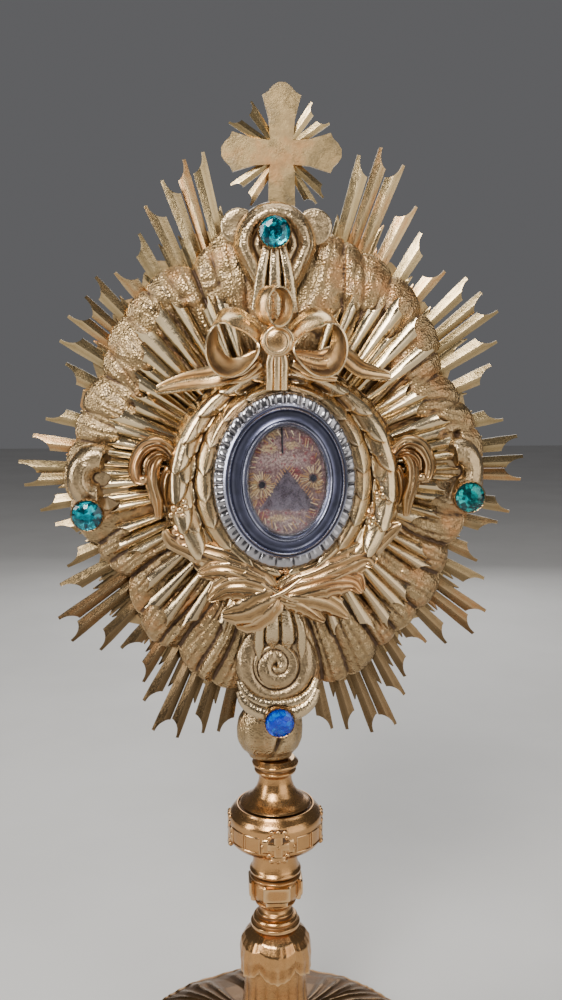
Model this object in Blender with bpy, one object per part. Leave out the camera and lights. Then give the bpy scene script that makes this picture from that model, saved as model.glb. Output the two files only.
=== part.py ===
"""A gilt reliquary monstrance: an oval sunburst with a relic case, on a turned stem and a round foot.

Millimetres in the numbers below, metres in the meshes. +Z is up, -Y is the front, and the origin is
the centre of the foot's underside. Every stem piece is bored for the tie rod, and the head is a stack
of plates: back plate, ray sheet, cloud ring, then the wreath round the relic case.
"""

import math

import bmesh
import bpy
from mathutils import Vector

MM = 0.001
GAP = 0.3  # clearance between touching pieces

# Driving dimensions
FOOT_RADIUS = 95.0
ROD_RADIUS = 3.0
ROD_BORE = ROD_RADIUS + 0.3
GLORY_Z = 337.0  # centre that the rays spring from
CASE_X = 2.8  # the relic case sits a little to the right of the rays' centre
CASE_Z = 335.0
CASE_HALF = (30.5, 38.5)  # outside half axes of the oval case wall
CROSS_X = 3.2
CROSS_Z = 489.0
WREATH_Z = 331.5

# Depths, front faces negative
PLATE_BACK = 1.5
CLOUD_BACK = -3.1
CLOUD_CREST = -12.4
WREATH_BACK = -12.8
CASE_REAR = 8.0
DOOR_THICK = 1.2

# Rays: angle from the top, tip radius, hook side (-1 towards the top), tip width
RAYS_RIGHT = [
    (16.0, 156.5, -1, 7.6),
    (19.0, 163.0, -1, 6.4), (21.9, 159.5, 1, 7.0),
    (27.0, 145.0, 1, 7.8), (32.9, 135.5, -1, 7.8), (39.2, 128.0, 1, 7.8), (46.2, 133.0, -1, 7.4),
    (50.4, 134.0, -1, 6.4), (53.6, 135.0, 1, 6.4),
    (58.7, 127.0, 1, 7.8), (65.6, 119.0, -1, 7.8), (76.3, 117.0, 1, 7.6), (83.7, 123.0, -1, 7.4),
    (88.2, 125.3, -1, 6.2), (91.4, 124.5, 1, 6.2),
    (99.0, 121.0, 1, 7.4), (105.0, 116.5, -1, 7.4),
]
RAYS_LEFT = [
    (13.8, 155.5, -1, 7.6),
    (17.1, 154.5, -1, 6.4), (20.1, 148.5, 1, 7.0),
    (24.7, 141.0, 1, 7.8), (31.0, 131.0, -1, 7.8), (37.2, 122.5, 1, 7.8), (43.8, 127.0, -1, 7.4),
    (48.2, 124.0, -1, 6.4), (51.8, 124.5, 1, 6.4),
    (57.0, 121.5, 1, 7.8), (64.1, 114.0, -1, 7.8), (75.3, 114.5, 1, 7.6), (82.6, 119.0, -1, 7.4),
    (88.6, 125.3, -1, 6.2), (91.8, 123.0, 1, 6.2),
    (97.8, 117.0, 1, 7.4), (104.9, 111.5, -1, 7.4),
]
RAYS_LOWER = [  # the same on both sides
    (113.0, 113.5, 1, 7.6), (119.2, 121.0, -1, 7.6), (125.3, 131.0, -1, 6.8), (128.7, 133.0, 1, 6.8),
    (134.3, 126.0, 1, 7.4), (140.4, 118.5, -1, 7.4), (146.8, 126.5, 1, 7.0), (151.4, 135.0, -1, 7.0),
    (155.8, 147.0, -1, 6.8), (158.8, 146.0, 1, 6.8), (163.4, 140.0, 1, 7.2), (168.9, 137.5, -1, 7.4),
]
RAY_ROOT = (88.0, 106.0)  # half axes of the oval that the rays leave
RAY_HOLE_GAP = 2.6  # round the case wall, wide enough for the hole's straight edges to clear it
RAY_RIDGE = 1.9
RAY_SHEET = 0.8
RAY_BITE = 8.5  # how much shorter a ray's plain corner is than its hooked tip

TURNED_SIDES = 26

COLOURS = {
    "gilt_brass": ((0.62, 0.49, 0.29), 0.36, 1.0),
    "stem_bronze": ((0.50, 0.29, 0.11), 0.27, 1.0),
    "ribbon_gilt": ((0.56, 0.36, 0.17), 0.30, 1.0),
    "silvered": ((0.66, 0.66, 0.63), 0.28, 1.0),
    "dark_frame": ((0.03, 0.032, 0.045), 0.30, 0.4),
    "crystal": ((0.90, 0.93, 0.93), 0.03, 0.0),
    "relic_cloth": ((0.42, 0.29, 0.22), 0.75, 0.0),
    "green_glass": ((0.0, 0.33, 0.36), 0.08, 0.0),
    "blue_glass": ((0.0, 0.14, 0.62), 0.08, 0.0),
    "iron": ((0.18, 0.17, 0.16), 0.55, 1.0),
}


def material(name):
    """The Principled material of that name, made the first time it is asked for."""
    found = bpy.data.materials.get(name)
    if found:
        return found
    colour, roughness, metallic = COLOURS[name]
    made = bpy.data.materials.new(name)
    made.use_nodes = True
    shader = made.node_tree.nodes["Principled BSDF"]
    shader.inputs["Base Color"].default_value = (*colour, 1.0)
    shader.inputs["Roughness"].default_value = roughness
    shader.inputs["Metallic"].default_value = metallic
    return made


def add_object(name, bm, finish, parent=None, origin=(0.0, 0.0, 0.0), helper=False):
    """Turns a bmesh in millimetres into an object whose origin is at origin."""
    bmesh.ops.recalc_face_normals(bm, faces=bm.faces)
    for vert in bm.verts:
        vert.co = (vert.co - Vector(origin)) * MM
    mesh = bpy.data.meshes.new(name)
    bm.to_mesh(mesh)
    bm.free()
    mesh.materials.append(material(finish))
    mesh.shade_smooth()
    mesh.set_sharp_from_angle(angle=math.radians(32))
    obj = bpy.data.objects.new(name, mesh)
    bpy.context.scene.collection.objects.link(obj)
    obj.location = Vector(origin) * MM
    if parent:
        obj.parent = parent
        obj.location = (Vector(origin) - Vector(parent["at"])) * MM
    if helper:
        obj.hide_render = True
        obj.display_type = "WIRE"
    return obj


def loft(name, rings, finish, closed=False, **place):
    """One body through rings of equally many points. closed joins the last ring to the first."""
    bm = bmesh.new()
    made = [[bm.verts.new(Vector(point)) for point in ring] for ring in rings]
    pairs = list(zip(made, made[1:] + made[:1])) if closed else list(zip(made, made[1:]))
    for one, other in pairs:
        for i in range(len(one)):
            j = (i + 1) % len(one)
            bm.faces.new((one[i], one[j], other[j], other[i]))
    if not closed:
        bm.faces.new(made[0])
        bm.faces.new(made[-1])
    return add_object(name, bm, finish, **place)


def circle(radius, z, sides=TURNED_SIDES, centre=(0.0, 0.0)):
    """A level ring about a vertical axis."""
    return [
        (
            centre[0] + radius * math.cos(2 * math.pi * i / sides),
            centre[1] + radius * math.sin(2 * math.pi * i / sides),
            z,
        )
        for i in range(sides)
    ]


def oval(half, y, centre, sides=40, grow=0.0):
    """An upright ring in a plane of constant y, from half axes and a centre (x, z)."""
    return [
        (
            centre[0] + (half[0] + grow) * math.sin(2 * math.pi * i / sides),
            y,
            centre[1] + (half[1] + grow) * math.cos(2 * math.pi * i / sides),
        )
        for i in range(sides)
    ]


def turned(name, profile, finish, sides=TURNED_SIDES):
    """A bored turned piece: profile is a closed loop of (radius, z)."""
    return loft(name, [circle(r, z, sides) for r, z in profile], finish, closed=True)


def oval_ring(name, sections, centre, finish, sides=40, **place):
    """An upright oval ring: sections is a closed loop of (half axes, y)."""
    rings = [oval(half, y, centre, sides) for half, y in sections]
    return loft(name, rings, finish, closed=True, **place)


def sheet(name, outline, front, back, finish, **place):
    """A flat plate cut to an (x, z) outline."""
    rings = [[(x, y, z) for x, z in outline] for y in (front, back)]
    return loft(name, rings, finish, **place)


def smooth_path(points, per_span=3):
    """Points along a Catmull-Rom curve through the given ones."""
    pts = [Vector(p) for p in points]
    ends = [pts[0] * 2 - pts[1], *pts, pts[-1] * 2 - pts[-2]]
    found = []
    for a, b, c, d in zip(ends, ends[1:], ends[2:], ends[3:]):
        for k in range(per_span):
            t = k / per_span
            found.append(
                0.5 * (2 * b + (c - a) * t + (2 * a - 5 * b + 4 * c - d) * t * t
                       + (3 * b - a - 3 * c + d) * t * t * t)
            )
    return [*found, pts[-1]]


def swept(name, points, sizes, finish, sides=8, per_span=3, depth=1.0, **place):
    """A round-sided bar along a path; sizes is its radius at each given point, depth its Y stretch."""
    path = smooth_path(points, per_span)
    rings = []
    for i, at in enumerate(path):
        along = (path[min(i + 1, len(path) - 1)] - path[max(i - 1, 0)]).normalized()
        across = along.cross(Vector((0, 1, 0))).normalized()
        t = i / per_span
        k = min(int(t), len(sizes) - 2)
        radius = sizes[k] + (sizes[k + 1] - sizes[k]) * (t - k)
        rings.append([
            at + across * (radius * math.cos(a)) + Vector((0, depth * radius * math.sin(a), 0))
            for a in (2 * math.pi * s / sides for s in range(sides))
        ])
    return loft(name, rings, finish, **place)


def box(name, low, high, finish="iron", **place):
    """A box between two corners."""
    rings = [
        [(low[0], low[1], z), (high[0], low[1], z), (high[0], high[1], z), (low[0], high[1], z)]
        for z in (low[2], high[2])
    ]
    return loft(name, rings, finish, **place)


def rod(name, radius, start, end, finish, sides=16, **place):
    """A round bar between two points along one axis."""
    start, end = Vector(start), Vector(end)
    along = (end - start).normalized()
    side = along.orthogonal().normalized()
    other = along.cross(side)
    rings = [
        [at + (side * math.cos(a) + other * math.sin(a)) * radius
         for a in (2 * math.pi * s / sides for s in range(sides))]
        for at in (start, end)
    ]
    return loft(name, rings, finish, **place)


def boolean(obj, operation, tool):
    """Cuts tool from obj, or joins it on, and hides the tool."""
    tool.hide_render = True
    tool.display_type = "WIRE"
    modifier = obj.modifiers.new(operation.lower(), "BOOLEAN")
    modifier.operation = operation
    modifier.object = tool
    modifier.solver = "EXACT"


def moving(name, at):
    """An empty on a joint's axis, which the pieces of that body hang from."""
    empty = bpy.data.objects.new(name, None)
    bpy.context.scene.collection.objects.link(empty)
    empty.location = Vector(at) * MM
    empty["at"] = at
    return empty


# ---------------------------------------------------------------- foot and stem


def foot():
    """The moulded flange and the shallow, hollow dome on it."""
    r = FOOT_RADIUS
    turned("foot_flange", [
        (r - 9, 0), (r, 0), (r, 3.5), (r - 1.5, 5.5), (r - 3, 6.5), (r - 3.5, 9.5), (r - 6, 11),
        (r - 9, 11),
    ], "stem_bronze", sides=40)
    crown = [(r - 6.5, 11.3), (r - 13, 12.5), (r - 26, 16), (r - 42, 21), (r - 58, 27), (27, 33)]
    under = [(ROD_BORE, 33), (ROD_BORE, 31.5), (26, 31.5)]
    inner = [(rr, z - 1.5) for rr, z in reversed(crown[1:-1])]
    turned("foot_dome", crown + under + inner + [(r - 8.5, 11.3)], "stem_bronze", sides=40)


def fluted_column():
    """The trumpet above the dome, with its sixteen flutes."""
    flutes, sides = 16, 48
    profile = [(27, 33.3), (24.5, 38), (20.5, 46), (18.0, 56), (17.2, 66), (16.8, 76.5)]
    depth = 0.06

    def fluted(radius, z):
        ring = circle(radius, z, sides)
        return [
            (x * k, y * k, z)
            for (x, y, z), k in (
                (p, 1 - depth * (0.5 + 0.5 * math.cos(2 * math.pi * i * flutes / sides)))
                for i, p in enumerate(ring)
            )
        ]

    rings = [fluted(r, z) for r, z in profile]
    rings += [circle(ROD_BORE, 76.5, sides), circle(ROD_BORE, 33.3, sides)]
    loft("column", rings, "stem_bronze", closed=True)


def leaf_collar():
    """The shoulder with a leafy lower edge that caps the column."""
    leaves, sides = 6, 30
    drop = [1.8 * math.cos(2 * math.pi * i * leaves / sides) for i in range(sides)]
    skirt = [(x, y, 73.5 + d) for (x, y, _), d in zip(circle(18.3, 0, sides), drop)]
    hem = [(x, y, 73.5 + d) for (x, y, _), d in zip(circle(17.3, 0, sides), drop)]
    shoulder = [(19.4, 79), (19.4, 85), (18.2, 90), (15.5, 94), (13.2, 95.5)]
    rings = [skirt] + [circle(r, z, sides) for r, z in shoulder]
    rings += [circle(ROD_BORE, 95.5, sides), circle(ROD_BORE, 76.8, sides)]
    rings += [circle(17.3, 76.8, sides), hem]
    loft("leaf_collar", rings, "stem_bronze", closed=True)


def stem():
    """Everything turned between the column and the head, from the bottom up."""
    b = ROD_BORE
    turned("column_cap", [
        (b, 95.8), (13, 95.8), (13.2, 97.5), (11.8, 98.8), (11.4, 101), (8.4, 103), (8.0, 107.5), (b, 107.5),
    ], "stem_bronze")
    knop_faces("small_knop", 15.3, (107.8, 110.5, 114.5, 121.5, 125.0), (9.0, 13.0, 15.3, 15.3, 12.8))
    turned("vase", [
        (b, 125.3), (11.6, 125.3), (13.4, 128.0), (13.6, 131.5), (11.8, 135.0), (10.8, 138.0), (b, 138.0),
    ], "stem_bronze")
    knop_faces("main_knop", 24.5, (138.3, 142.5, 147.0, 160.0, 163.0), (11.5, 19.5, 24.5, 24.5, 21.5))
    turned("neck", [
        (b, 163.3), (19.8, 163.3), (18.5, 166.0), (13.0, 170.0), (9.4, 174.5), (8.4, 179.0), (8.6, 182.0),
        (9.6, 183.2), (10.8, 184.6), (10.8, 186.4), (9.8, 187.7), (b, 187.7),
    ], "stem_bronze")


def knop_faces(name, radius, heights, radii):
    """A knop with a drum between two shoulders."""
    outside = list(zip(radii, heights))
    turned(name, [*outside, (ROD_BORE, heights[-1]), (ROD_BORE, heights[0])], "stem_bronze")


def knop_crosses():
    """The four applied crosses on the drum of the main knop, each a curved plate."""
    names = ["front", "right", "back", "left"]
    arm, wide, half_z, mid_z = 9.0, 3.6, 6.3, 153.5
    inner, outer = 24.5 + GAP, 26.2
    outline = [
        (-wide, -half_z), (wide, -half_z), (wide, -wide), (arm, -wide), (arm, wide), (wide, wide),
        (wide, half_z), (-wide, half_z), (-wide, wide), (-arm, wide), (-arm, -wide), (-wide, -wide),
    ]
    for k, name in enumerate(names):
        turn = math.radians(-90 + 90 * k)
        rings = []
        for radius in (inner, outer):
            spread = [(turn + u / 25.0, v) for u, v in outline]
            rings.append([
                (radius * math.cos(a), radius * math.sin(a), mid_z + v) for a, v in spread
            ])
        loft(f"knop_cross_{name}", rings, "stem_bronze")


def bulb():
    """The shell-shaped socket under the sunburst, slotted for the tang and bored for its pin."""
    sections = [
        (188.0, 9.2, -9.2, 9.2), (191.0, 12.5, -10.8, 9.2), (196.0, 16.2, -12.0, 9.2),
        (202.0, 17.4, -12.0, 9.2), (208.0, 17.0, -10.0, 9.0), (213.0, 14.5, -8.2, 8.6),
        (216.0, 11.0, -6.4, 8.0),
    ]
    sides, lean = 28, -2.4
    rings = []
    for z, half, front, back in sections:
        mid, deep = (front + back) / 2, (back - front) / 2
        shift = lean * min(1.0, (z - 188.0) / 8.0)
        rings.append([
            (shift + half * math.cos(a), mid + deep * math.sin(a), z)
            for a in (2 * math.pi * i / sides for i in range(sides))
        ])
    shell = loft("bulb", rings, "gilt_brass")
    boolean(shell, "DIFFERENCE", box("bulb_slot", (-7.3, 1.5, 197.0), (7.3, 5.1, 220.0)))
    boolean(shell, "DIFFERENCE", rod("bulb_bore", 1.8, (0, -2.0, 205.0), (0, 12.0, 205.0), "iron"))
    boolean(shell, "DIFFERENCE", rod("rod_socket", ROD_BORE, (0, 0, 186.0), (0, 0, 195.0), "iron"))
    tang = sheet("tang", [(-7, 198), (7, 198), (7, 252), (4, 256), (-4, 256), (-7, 252)],
                 1.8, 4.8, "gilt_brass")
    boolean(tang, "DIFFERENCE", rod("tang_bore", 1.8, (0, 0.0, 205.0), (0, 7.0, 205.0), "iron"))
    rod("tang_pin", 1.5, (0, -1.5, 205.0), (0, 10.2, 205.0), "iron", sides=12)


def tie_rod():
    """The threaded rod that pulls the stem together, with its washer and nut under the dome."""
    loft("tie_rod", [circle(ROD_RADIUS, z, 16) for z in (17.0, 194.5)], "iron")
    turned("rod_washer", [(ROD_BORE, 29.4), (13.0, 29.4), (13.0, 31.2), (ROD_BORE, 31.2)], "iron", sides=24)
    turned("rod_nut", [(3.7, 23.0), (6.4, 23.0), (6.4, 29.1), (3.7, 29.1)], "iron", sides=6)


# ---------------------------------------------------------------- sunburst


def root_radius(half, angle):
    """How far an oval of these half axes reaches at an angle from the top."""
    return 1 / math.hypot(math.sin(angle) / half[0], math.cos(angle) / half[1])


def lobed(half, lobes, height, y, centre, sides):
    """An oval ring whose edge swells into round lobes."""
    ring = []
    for i in range(sides):
        angle = 2 * math.pi * i / sides
        reach = root_radius(half, angle) + height * abs(math.sin(angle * lobes / 2))
        ring.append((centre[0] + reach * math.sin(angle), y, centre[1] + reach * math.cos(angle)))
    return ring


def back_plate():
    """The flat lobed plate that everything in the head is fixed to."""
    sides, centre = 84, (0.0, GLORY_Z + 3)
    hole = [case_edge(2 * math.pi * i / sides, centre, GAP) for i in range(sides)]
    rings = [
        lobed((92, 115), 28, 7.0, GAP, centre, sides),
        lobed((92, 115), 28, 7.0, PLATE_BACK, centre, sides),
        [(x, PLATE_BACK, z) for x, z in hole],
        [(x, GAP, z) for x, z in hole],
    ]
    loft("back_plate", rings, "gilt_brass", closed=True)


def case_edge(angle, centre, grow):
    """Where a ray from centre at an angle from the top meets the case's oval, grown a little."""
    half = (CASE_HALF[0] + grow, CASE_HALF[1] + grow)
    dx, dz = math.sin(angle) / half[0], math.cos(angle) / half[1]
    ox, oz = (centre[0] - CASE_X) / half[0], (centre[1] - CASE_Z) / half[1]
    a, b, c = dx * dx + dz * dz, 2 * (ox * dx + oz * dz), ox * ox + oz * oz - 1
    reach = (-b + math.sqrt(b * b - 4 * a * c)) / (2 * a)
    return centre[0] + reach * math.sin(angle), centre[1] + reach * math.cos(angle)


def ray_sheet():
    """The sheet of folded rays: each is a ridged strip with one hooked tip and one plain corner."""
    right, left = RAYS_RIGHT + RAYS_LOWER, RAYS_LEFT + RAYS_LOWER
    rays = sorted(right + [(-angle, tip, -hook, width) for angle, tip, hook, width in left])
    bm = bmesh.new()

    def at(angle, radius, rise=0.0, aside=0.0):
        x = radius * math.sin(angle) + aside * math.cos(angle)
        z = GLORY_Z + radius * math.cos(angle) - aside * math.sin(angle)
        return bm.verts.new((x, -rise, z))

    rim = []
    for degrees, tip, hook, width in rays:
        angle = math.radians(degrees)
        root = root_radius(RAY_ROOT, angle)
        narrow = 0.36 * width
        left, right = at(angle, root, 0, -narrow), at(angle, root, 0, narrow)
        ridge = at(angle, root, RAY_RIDGE)
        rim += [left, ridge, right]
        half = width / 2
        corner = at(angle, tip - RAY_BITE, 0, -hook * half)
        crest = at(angle, tip - 0.86 * RAY_BITE, RAY_RIDGE)
        inside = at(angle, tip - 0.45 * RAY_BITE, 0.3 * RAY_RIDGE, hook * 0.62 * half)
        point = at(angle, tip, 0, hook * half * 0.95)
        plain, hooked = (left, right) if hook > 0 else (right, left)
        bm.faces.new((plain, corner, crest, ridge))
        bm.faces.new((ridge, crest, inside, point, hooked))
    inner = []
    for vert in rim:
        x, z = case_edge(math.atan2(vert.co.x, vert.co.z - GLORY_Z), (0.0, GLORY_Z), RAY_HOLE_GAP)
        inner.append(bm.verts.new((x, 0, z)))
    for i in range(len(rim)):
        j = (i + 1) % len(rim)
        bm.faces.new((inner[i], rim[i], rim[j], inner[j]))
    bmesh.ops.triangulate(bm, faces=bm.faces)
    bmesh.ops.recalc_face_normals(bm, faces=bm.faces)
    twins = {vert: bm.verts.new(vert.co + Vector((0, -RAY_SHEET, 0))) for vert in list(bm.verts)}
    open_edges = [edge for edge in bm.edges if len(edge.link_faces) == 1]
    for face in list(bm.faces):
        bm.faces.new([twins[vert] for vert in face.verts])
    for edge in open_edges:
        a, b = edge.verts
        bm.faces.new((a, b, twins[b], twins[a]))
    add_object("ray_sheet", bm, "gilt_brass")


def cloud_ring():
    """The embossed ring of clouds: a lobed dish of sheet metal, hollow behind."""
    sides, centre = 66, (0.0, GLORY_Z + 3)
    skin = 1.0
    sections = [((98.5, 119.0), 3.2, CLOUD_BACK), ((90, 109), 2.0, -9.2), ((74, 88), 0.6, CLOUD_CREST + skin)]
    front = [lobed(half, 22, height, y - skin, centre, sides) for half, height, y in sections]
    back = [lobed(half, 22, height, y, centre, sides) for half, height, y in reversed(sections)]
    edge = [case_edge(2 * math.pi * i / sides, centre, GAP) for i in range(sides)]
    middle = [[(x, y, z) for x, z in edge] for y in (CLOUD_CREST, CLOUD_CREST + skin)]
    loft("cloud_ring", front + middle + back, "gilt_brass", closed=True)


def scrolls():
    """The rolled scrolls that carry the stones, and the shell at the foot of the clouds."""
    y = -17.6
    swept("top_scroll", [(-10, y, 424), (-16, y, 436), (-14, y, 451), (-2, y, 459), (11, y, 453),
                         (15, y, 437), (10, y, 424)], [2.2, 3.4, 4.2, 4.3, 4.2, 3.4, 2.2], "gilt_brass")
    swept("bottom_scroll", [(-17.5, y, 232), (-15, y, 222), (-8, y, 216), (0.5, y, 214), (9, y, 216),
                            (16, y, 222), (18.5, y, 232)], [1.8, 3.0, 3.6, 3.8, 3.6, 3.0, 1.8], "gilt_brass")
    dome = [((13.5, 15.5), -13.0), ((13.0, 15.0), -15.0), ((9.5, 11.0), -17.5), ((4.0, 4.5), -18.6)]
    loft("bottom_volute", [oval(half, yy, (1.2, 243), 20) for half, yy in dome], "gilt_brass")
    swept("left_scroll", [(-80, y, 346), (-90, y, 346), (-96.5, y, 336), (-93, y, 325), (-83, y, 322)],
          [2.5, 4.0, 4.4, 4.2, 2.5], "gilt_brass")
    swept("right_scroll", [(86.5, y, 350), (93, y, 347), (97.5, y, 337), (95, y, 327), (86, y, 323)],
          [2.5, 4.0, 4.4, 4.2, 2.5], "gilt_brass")


def stones():
    """Four foil-backed glass stones in plain bezels on the scrolls."""
    places = {
        "top": (-1.6, 449.5, "green_glass"), "left": (-90.0, 319.0, "green_glass"),
        "right": (92.3, 326.0, "green_glass"), "bottom": (0.6, 215.2, "blue_glass"),
    }
    seat = -22.1
    for side, (x, z, glass) in places.items():
        cup = [(3.0, seat), (6.0, seat), (8.1, seat - 1.6), (8.1, seat - 2.6), (7.6, seat - 2.6),
               (7.6, seat - 1.8), (3.0, seat - 1.8)]
        loft(f"bezel_{side}", [oval((r, r), y, (x, z), 14) for r, y in cup], "gilt_brass", closed=True)
        cut = [(6.9, seat - 2.1), (7.3, seat - 3.2), (6.0, seat - 4.6), (3.4, seat - 5.4)]
        loft(f"stone_{side}", [oval((r, r), y, (x, z), 14) for r, y in cut], glass)


def cross():
    """The cross on top, with a star of small rays behind its arms."""
    arm = [(5.6, 6.0), (6.2, 15.0), (9.2, 26.0), (6.6, 27.4), (4.4, 30.0), (1.8, 31.8)]

    def turned_arm(quarter, shrink):
        s, c = [(0, 1), (1, 0), (0, -1), (-1, 0)][quarter]
        points = [(-u, v * shrink) for u, v in arm] + [(u, v * shrink) for u, v in reversed(arm)]
        return [(CROSS_X + u * c + v * s, CROSS_Z + v * c - u * s) for u, v in points]

    foot_line = [(CROSS_X + 6.2, CROSS_Z - 8), (CROSS_X + 6.6, 444.8), (CROSS_X - 6.6, 444.8),
                 (CROSS_X - 6.2, CROSS_Z - 8)]
    outline = turned_arm(0, 1.0) + turned_arm(1, 0.9) + foot_line + turned_arm(3, 0.9)
    sheet("cross", outline, -2.1, -0.5, "gilt_brass")
    star = []
    for corner in range(4):
        middle = math.radians(45 + 90 * corner)
        for lean, reach in ((-20, 9), (-16, 25), (-7, 22), (0, 15), (7, 22), (16, 25), (20, 9)):
            a = middle + math.radians(lean)
            star.append((CROSS_X + reach * math.sin(a), CROSS_Z + reach * math.cos(a)))
    sheet("cross_rays", star, -0.2, 0.8, "gilt_brass")


# ---------------------------------------------------------------- wreath and relic case


def case():
    """The oval wall through the head, and the silvered ring round the theca."""
    a, b = CASE_HALF
    middle = (CASE_X, CASE_Z)
    oval_ring("case_wall", [
        ((a, b), CASE_REAR), ((a, b), -26.0), ((a - 1.2, b - 1.2), -26.0), ((a - 1.2, b - 1.2), CASE_REAR),
    ], middle, "gilt_brass")
    oval_ring("fluted_ring", [
        ((34.2, 42.4), -27.4), ((27.2, 34.7), -31.4), ((27.2, 34.7), -30.2), ((33.8, 42.0), -26.3),
    ], middle, "silvered", sides=48)


def theca():
    """The sealed relic case: moulded frame, crystal, relic panel and the cup behind them."""
    middle = (CASE_X, CASE_Z + 0.5)
    oval_ring("theca_frame", [
        ((26.6, 34.1), -27.2), ((26.6, 34.1), -32.0), ((29.3, 36.4), -32.0), ((29.3, 36.4), -36.0),
        ((27.4, 34.6), -38.0), ((24.0, 31.2), -36.6), ((21.0, 28.4), -37.6), ((18.0, 25.5), -35.4),
        ((18.0, 25.5), -34.4), ((20.6, 28.1), -34.4), ((20.6, 28.1), -27.2),
    ], middle, "dark_frame", sides=36)
    loft("theca_glass", [oval((20.2, 27.7), y, middle, 36) for y in (-34.1, -32.9)], "crystal")
    loft("relic_panel", [oval((20.2, 27.7), y, middle, 36) for y in (-31.5, -30.5)], "relic_cloth")
    loft("theca_cup", [
        oval((20.2, 27.7), -30.2, middle, 36), oval((20.2, 27.7), -26.9, middle, 36),
        oval((26.4, 33.9), -26.9, middle, 36), oval((26.4, 33.9), -12.0, middle, 36),
        oval((24.5, 32.0), -10.5, middle, 36),
    ], "dark_frame")


def wreath():
    """The laurel ring: two rounded bands with a channel between them."""
    middle = (CASE_X, WREATH_Z)
    oval_ring("wreath", [
        ((54.8, 56.8), WREATH_BACK), ((55.4, 57.4), -16.5), ((51.5, 55.2), -21.5), ((46.5, 52.6), -22.8),
        ((43.4, 50.2), -20.6), ((40.8, 48.6), -24.8), ((37.2, 46.8), -27.4), ((34.9, 46.0), -26.4),
        ((34.9, 46.0), -22.0), ((38.0, 47.5), WREATH_BACK),
    ], middle, "gilt_brass", sides=36)


def bow():
    """The ribbon bow over the wreath: the loops, the knot with the band under it, and two tails."""
    loops = {
        "bow_loop_left": ((-19.5, 399.0), (9.2, 11.6)), "bow_loop_right": ((16.5, 399.0), (9.2, 11.6)),
        "bow_loop_top": ((-2.2, 414.6), (4.2, 6.6)),
    }
    for name, (middle, half) in loops.items():
        section = [(2.7, -27.6), (2.7, -33.6), (-2.2, -34.6), (-2.2, -27.6)]
        rings = [oval(half, y, middle, 20, grow=grow) for grow, y in section]
        loft(name, rings, "ribbon_gilt", closed=True, helper=name.endswith("top"))
    shape = [((4.0, 4.0), -27.4), ((5.6, 5.8), -30.0), ((5.0, 5.2), -35.5), ((3.0, 3.2), -37.6)]
    knot = loft("bow_knot", [oval(half, y, (-2.2, 401.5), 18) for half, y in shape], "ribbon_gilt")
    boolean(knot, "UNION", bpy.data.objects["bow_loop_top"])
    boolean(knot, "UNION", box("bow_band", (-7.6, -30.2, 378.2), (4.2, -27.8, 399.0), "ribbon_gilt"))
    swept("tail_left", [(-30, -25.6, 386), (-38, -24.2, 383), (-47, -21.0, 378), (-56.5, -17.6, 376)],
          [4.4, 4.6, 4.0, 1.4], "ribbon_gilt", depth=0.32)
    swept("tail_right", [(29, -25.6, 388), (36, -24.2, 387), (44, -21.0, 384), (53.5, -17.6, 381)],
          [4.4, 4.6, 4.0, 1.4], "ribbon_gilt", depth=0.32)


def sprays():
    """The two leafy sprays that cross under the wreath, and the hooked tendrils at its sides."""
    for side, sign in (("left", -1), ("right", 1)):
        points = [(CASE_X + sign * 4.2, -27.2, 272.5), (CASE_X + sign * 22, -27.6, 274.5),
                  (CASE_X + sign * 44, -24.4, 287), (CASE_X + sign * 56.5, -20.2, 303)]
        swept(f"spray_{side}", points, [3.0, 8.0, 6.0, 3.2], "ribbon_gilt", depth=0.36)
        base = CASE_X + sign * 57.5
        hook = [(0, 338), (2, 348), (8, 353.5), (14, 350), (15, 341), (10.5, 332), (8, 320)]
        swept(f"tendril_{side}", [(base + sign * u, -19.2, z) for u, z in hook],
              [3.0, 3.6, 3.9, 3.6, 3.2, 3.4, 2.2], "ribbon_gilt", per_span=2, depth=0.8)


# ---------------------------------------------------------------- rear door

HINGE_X, HINGE_Y = CASE_X - 35.0, 9.6
LATCH_X = CASE_X + 25.0


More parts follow.
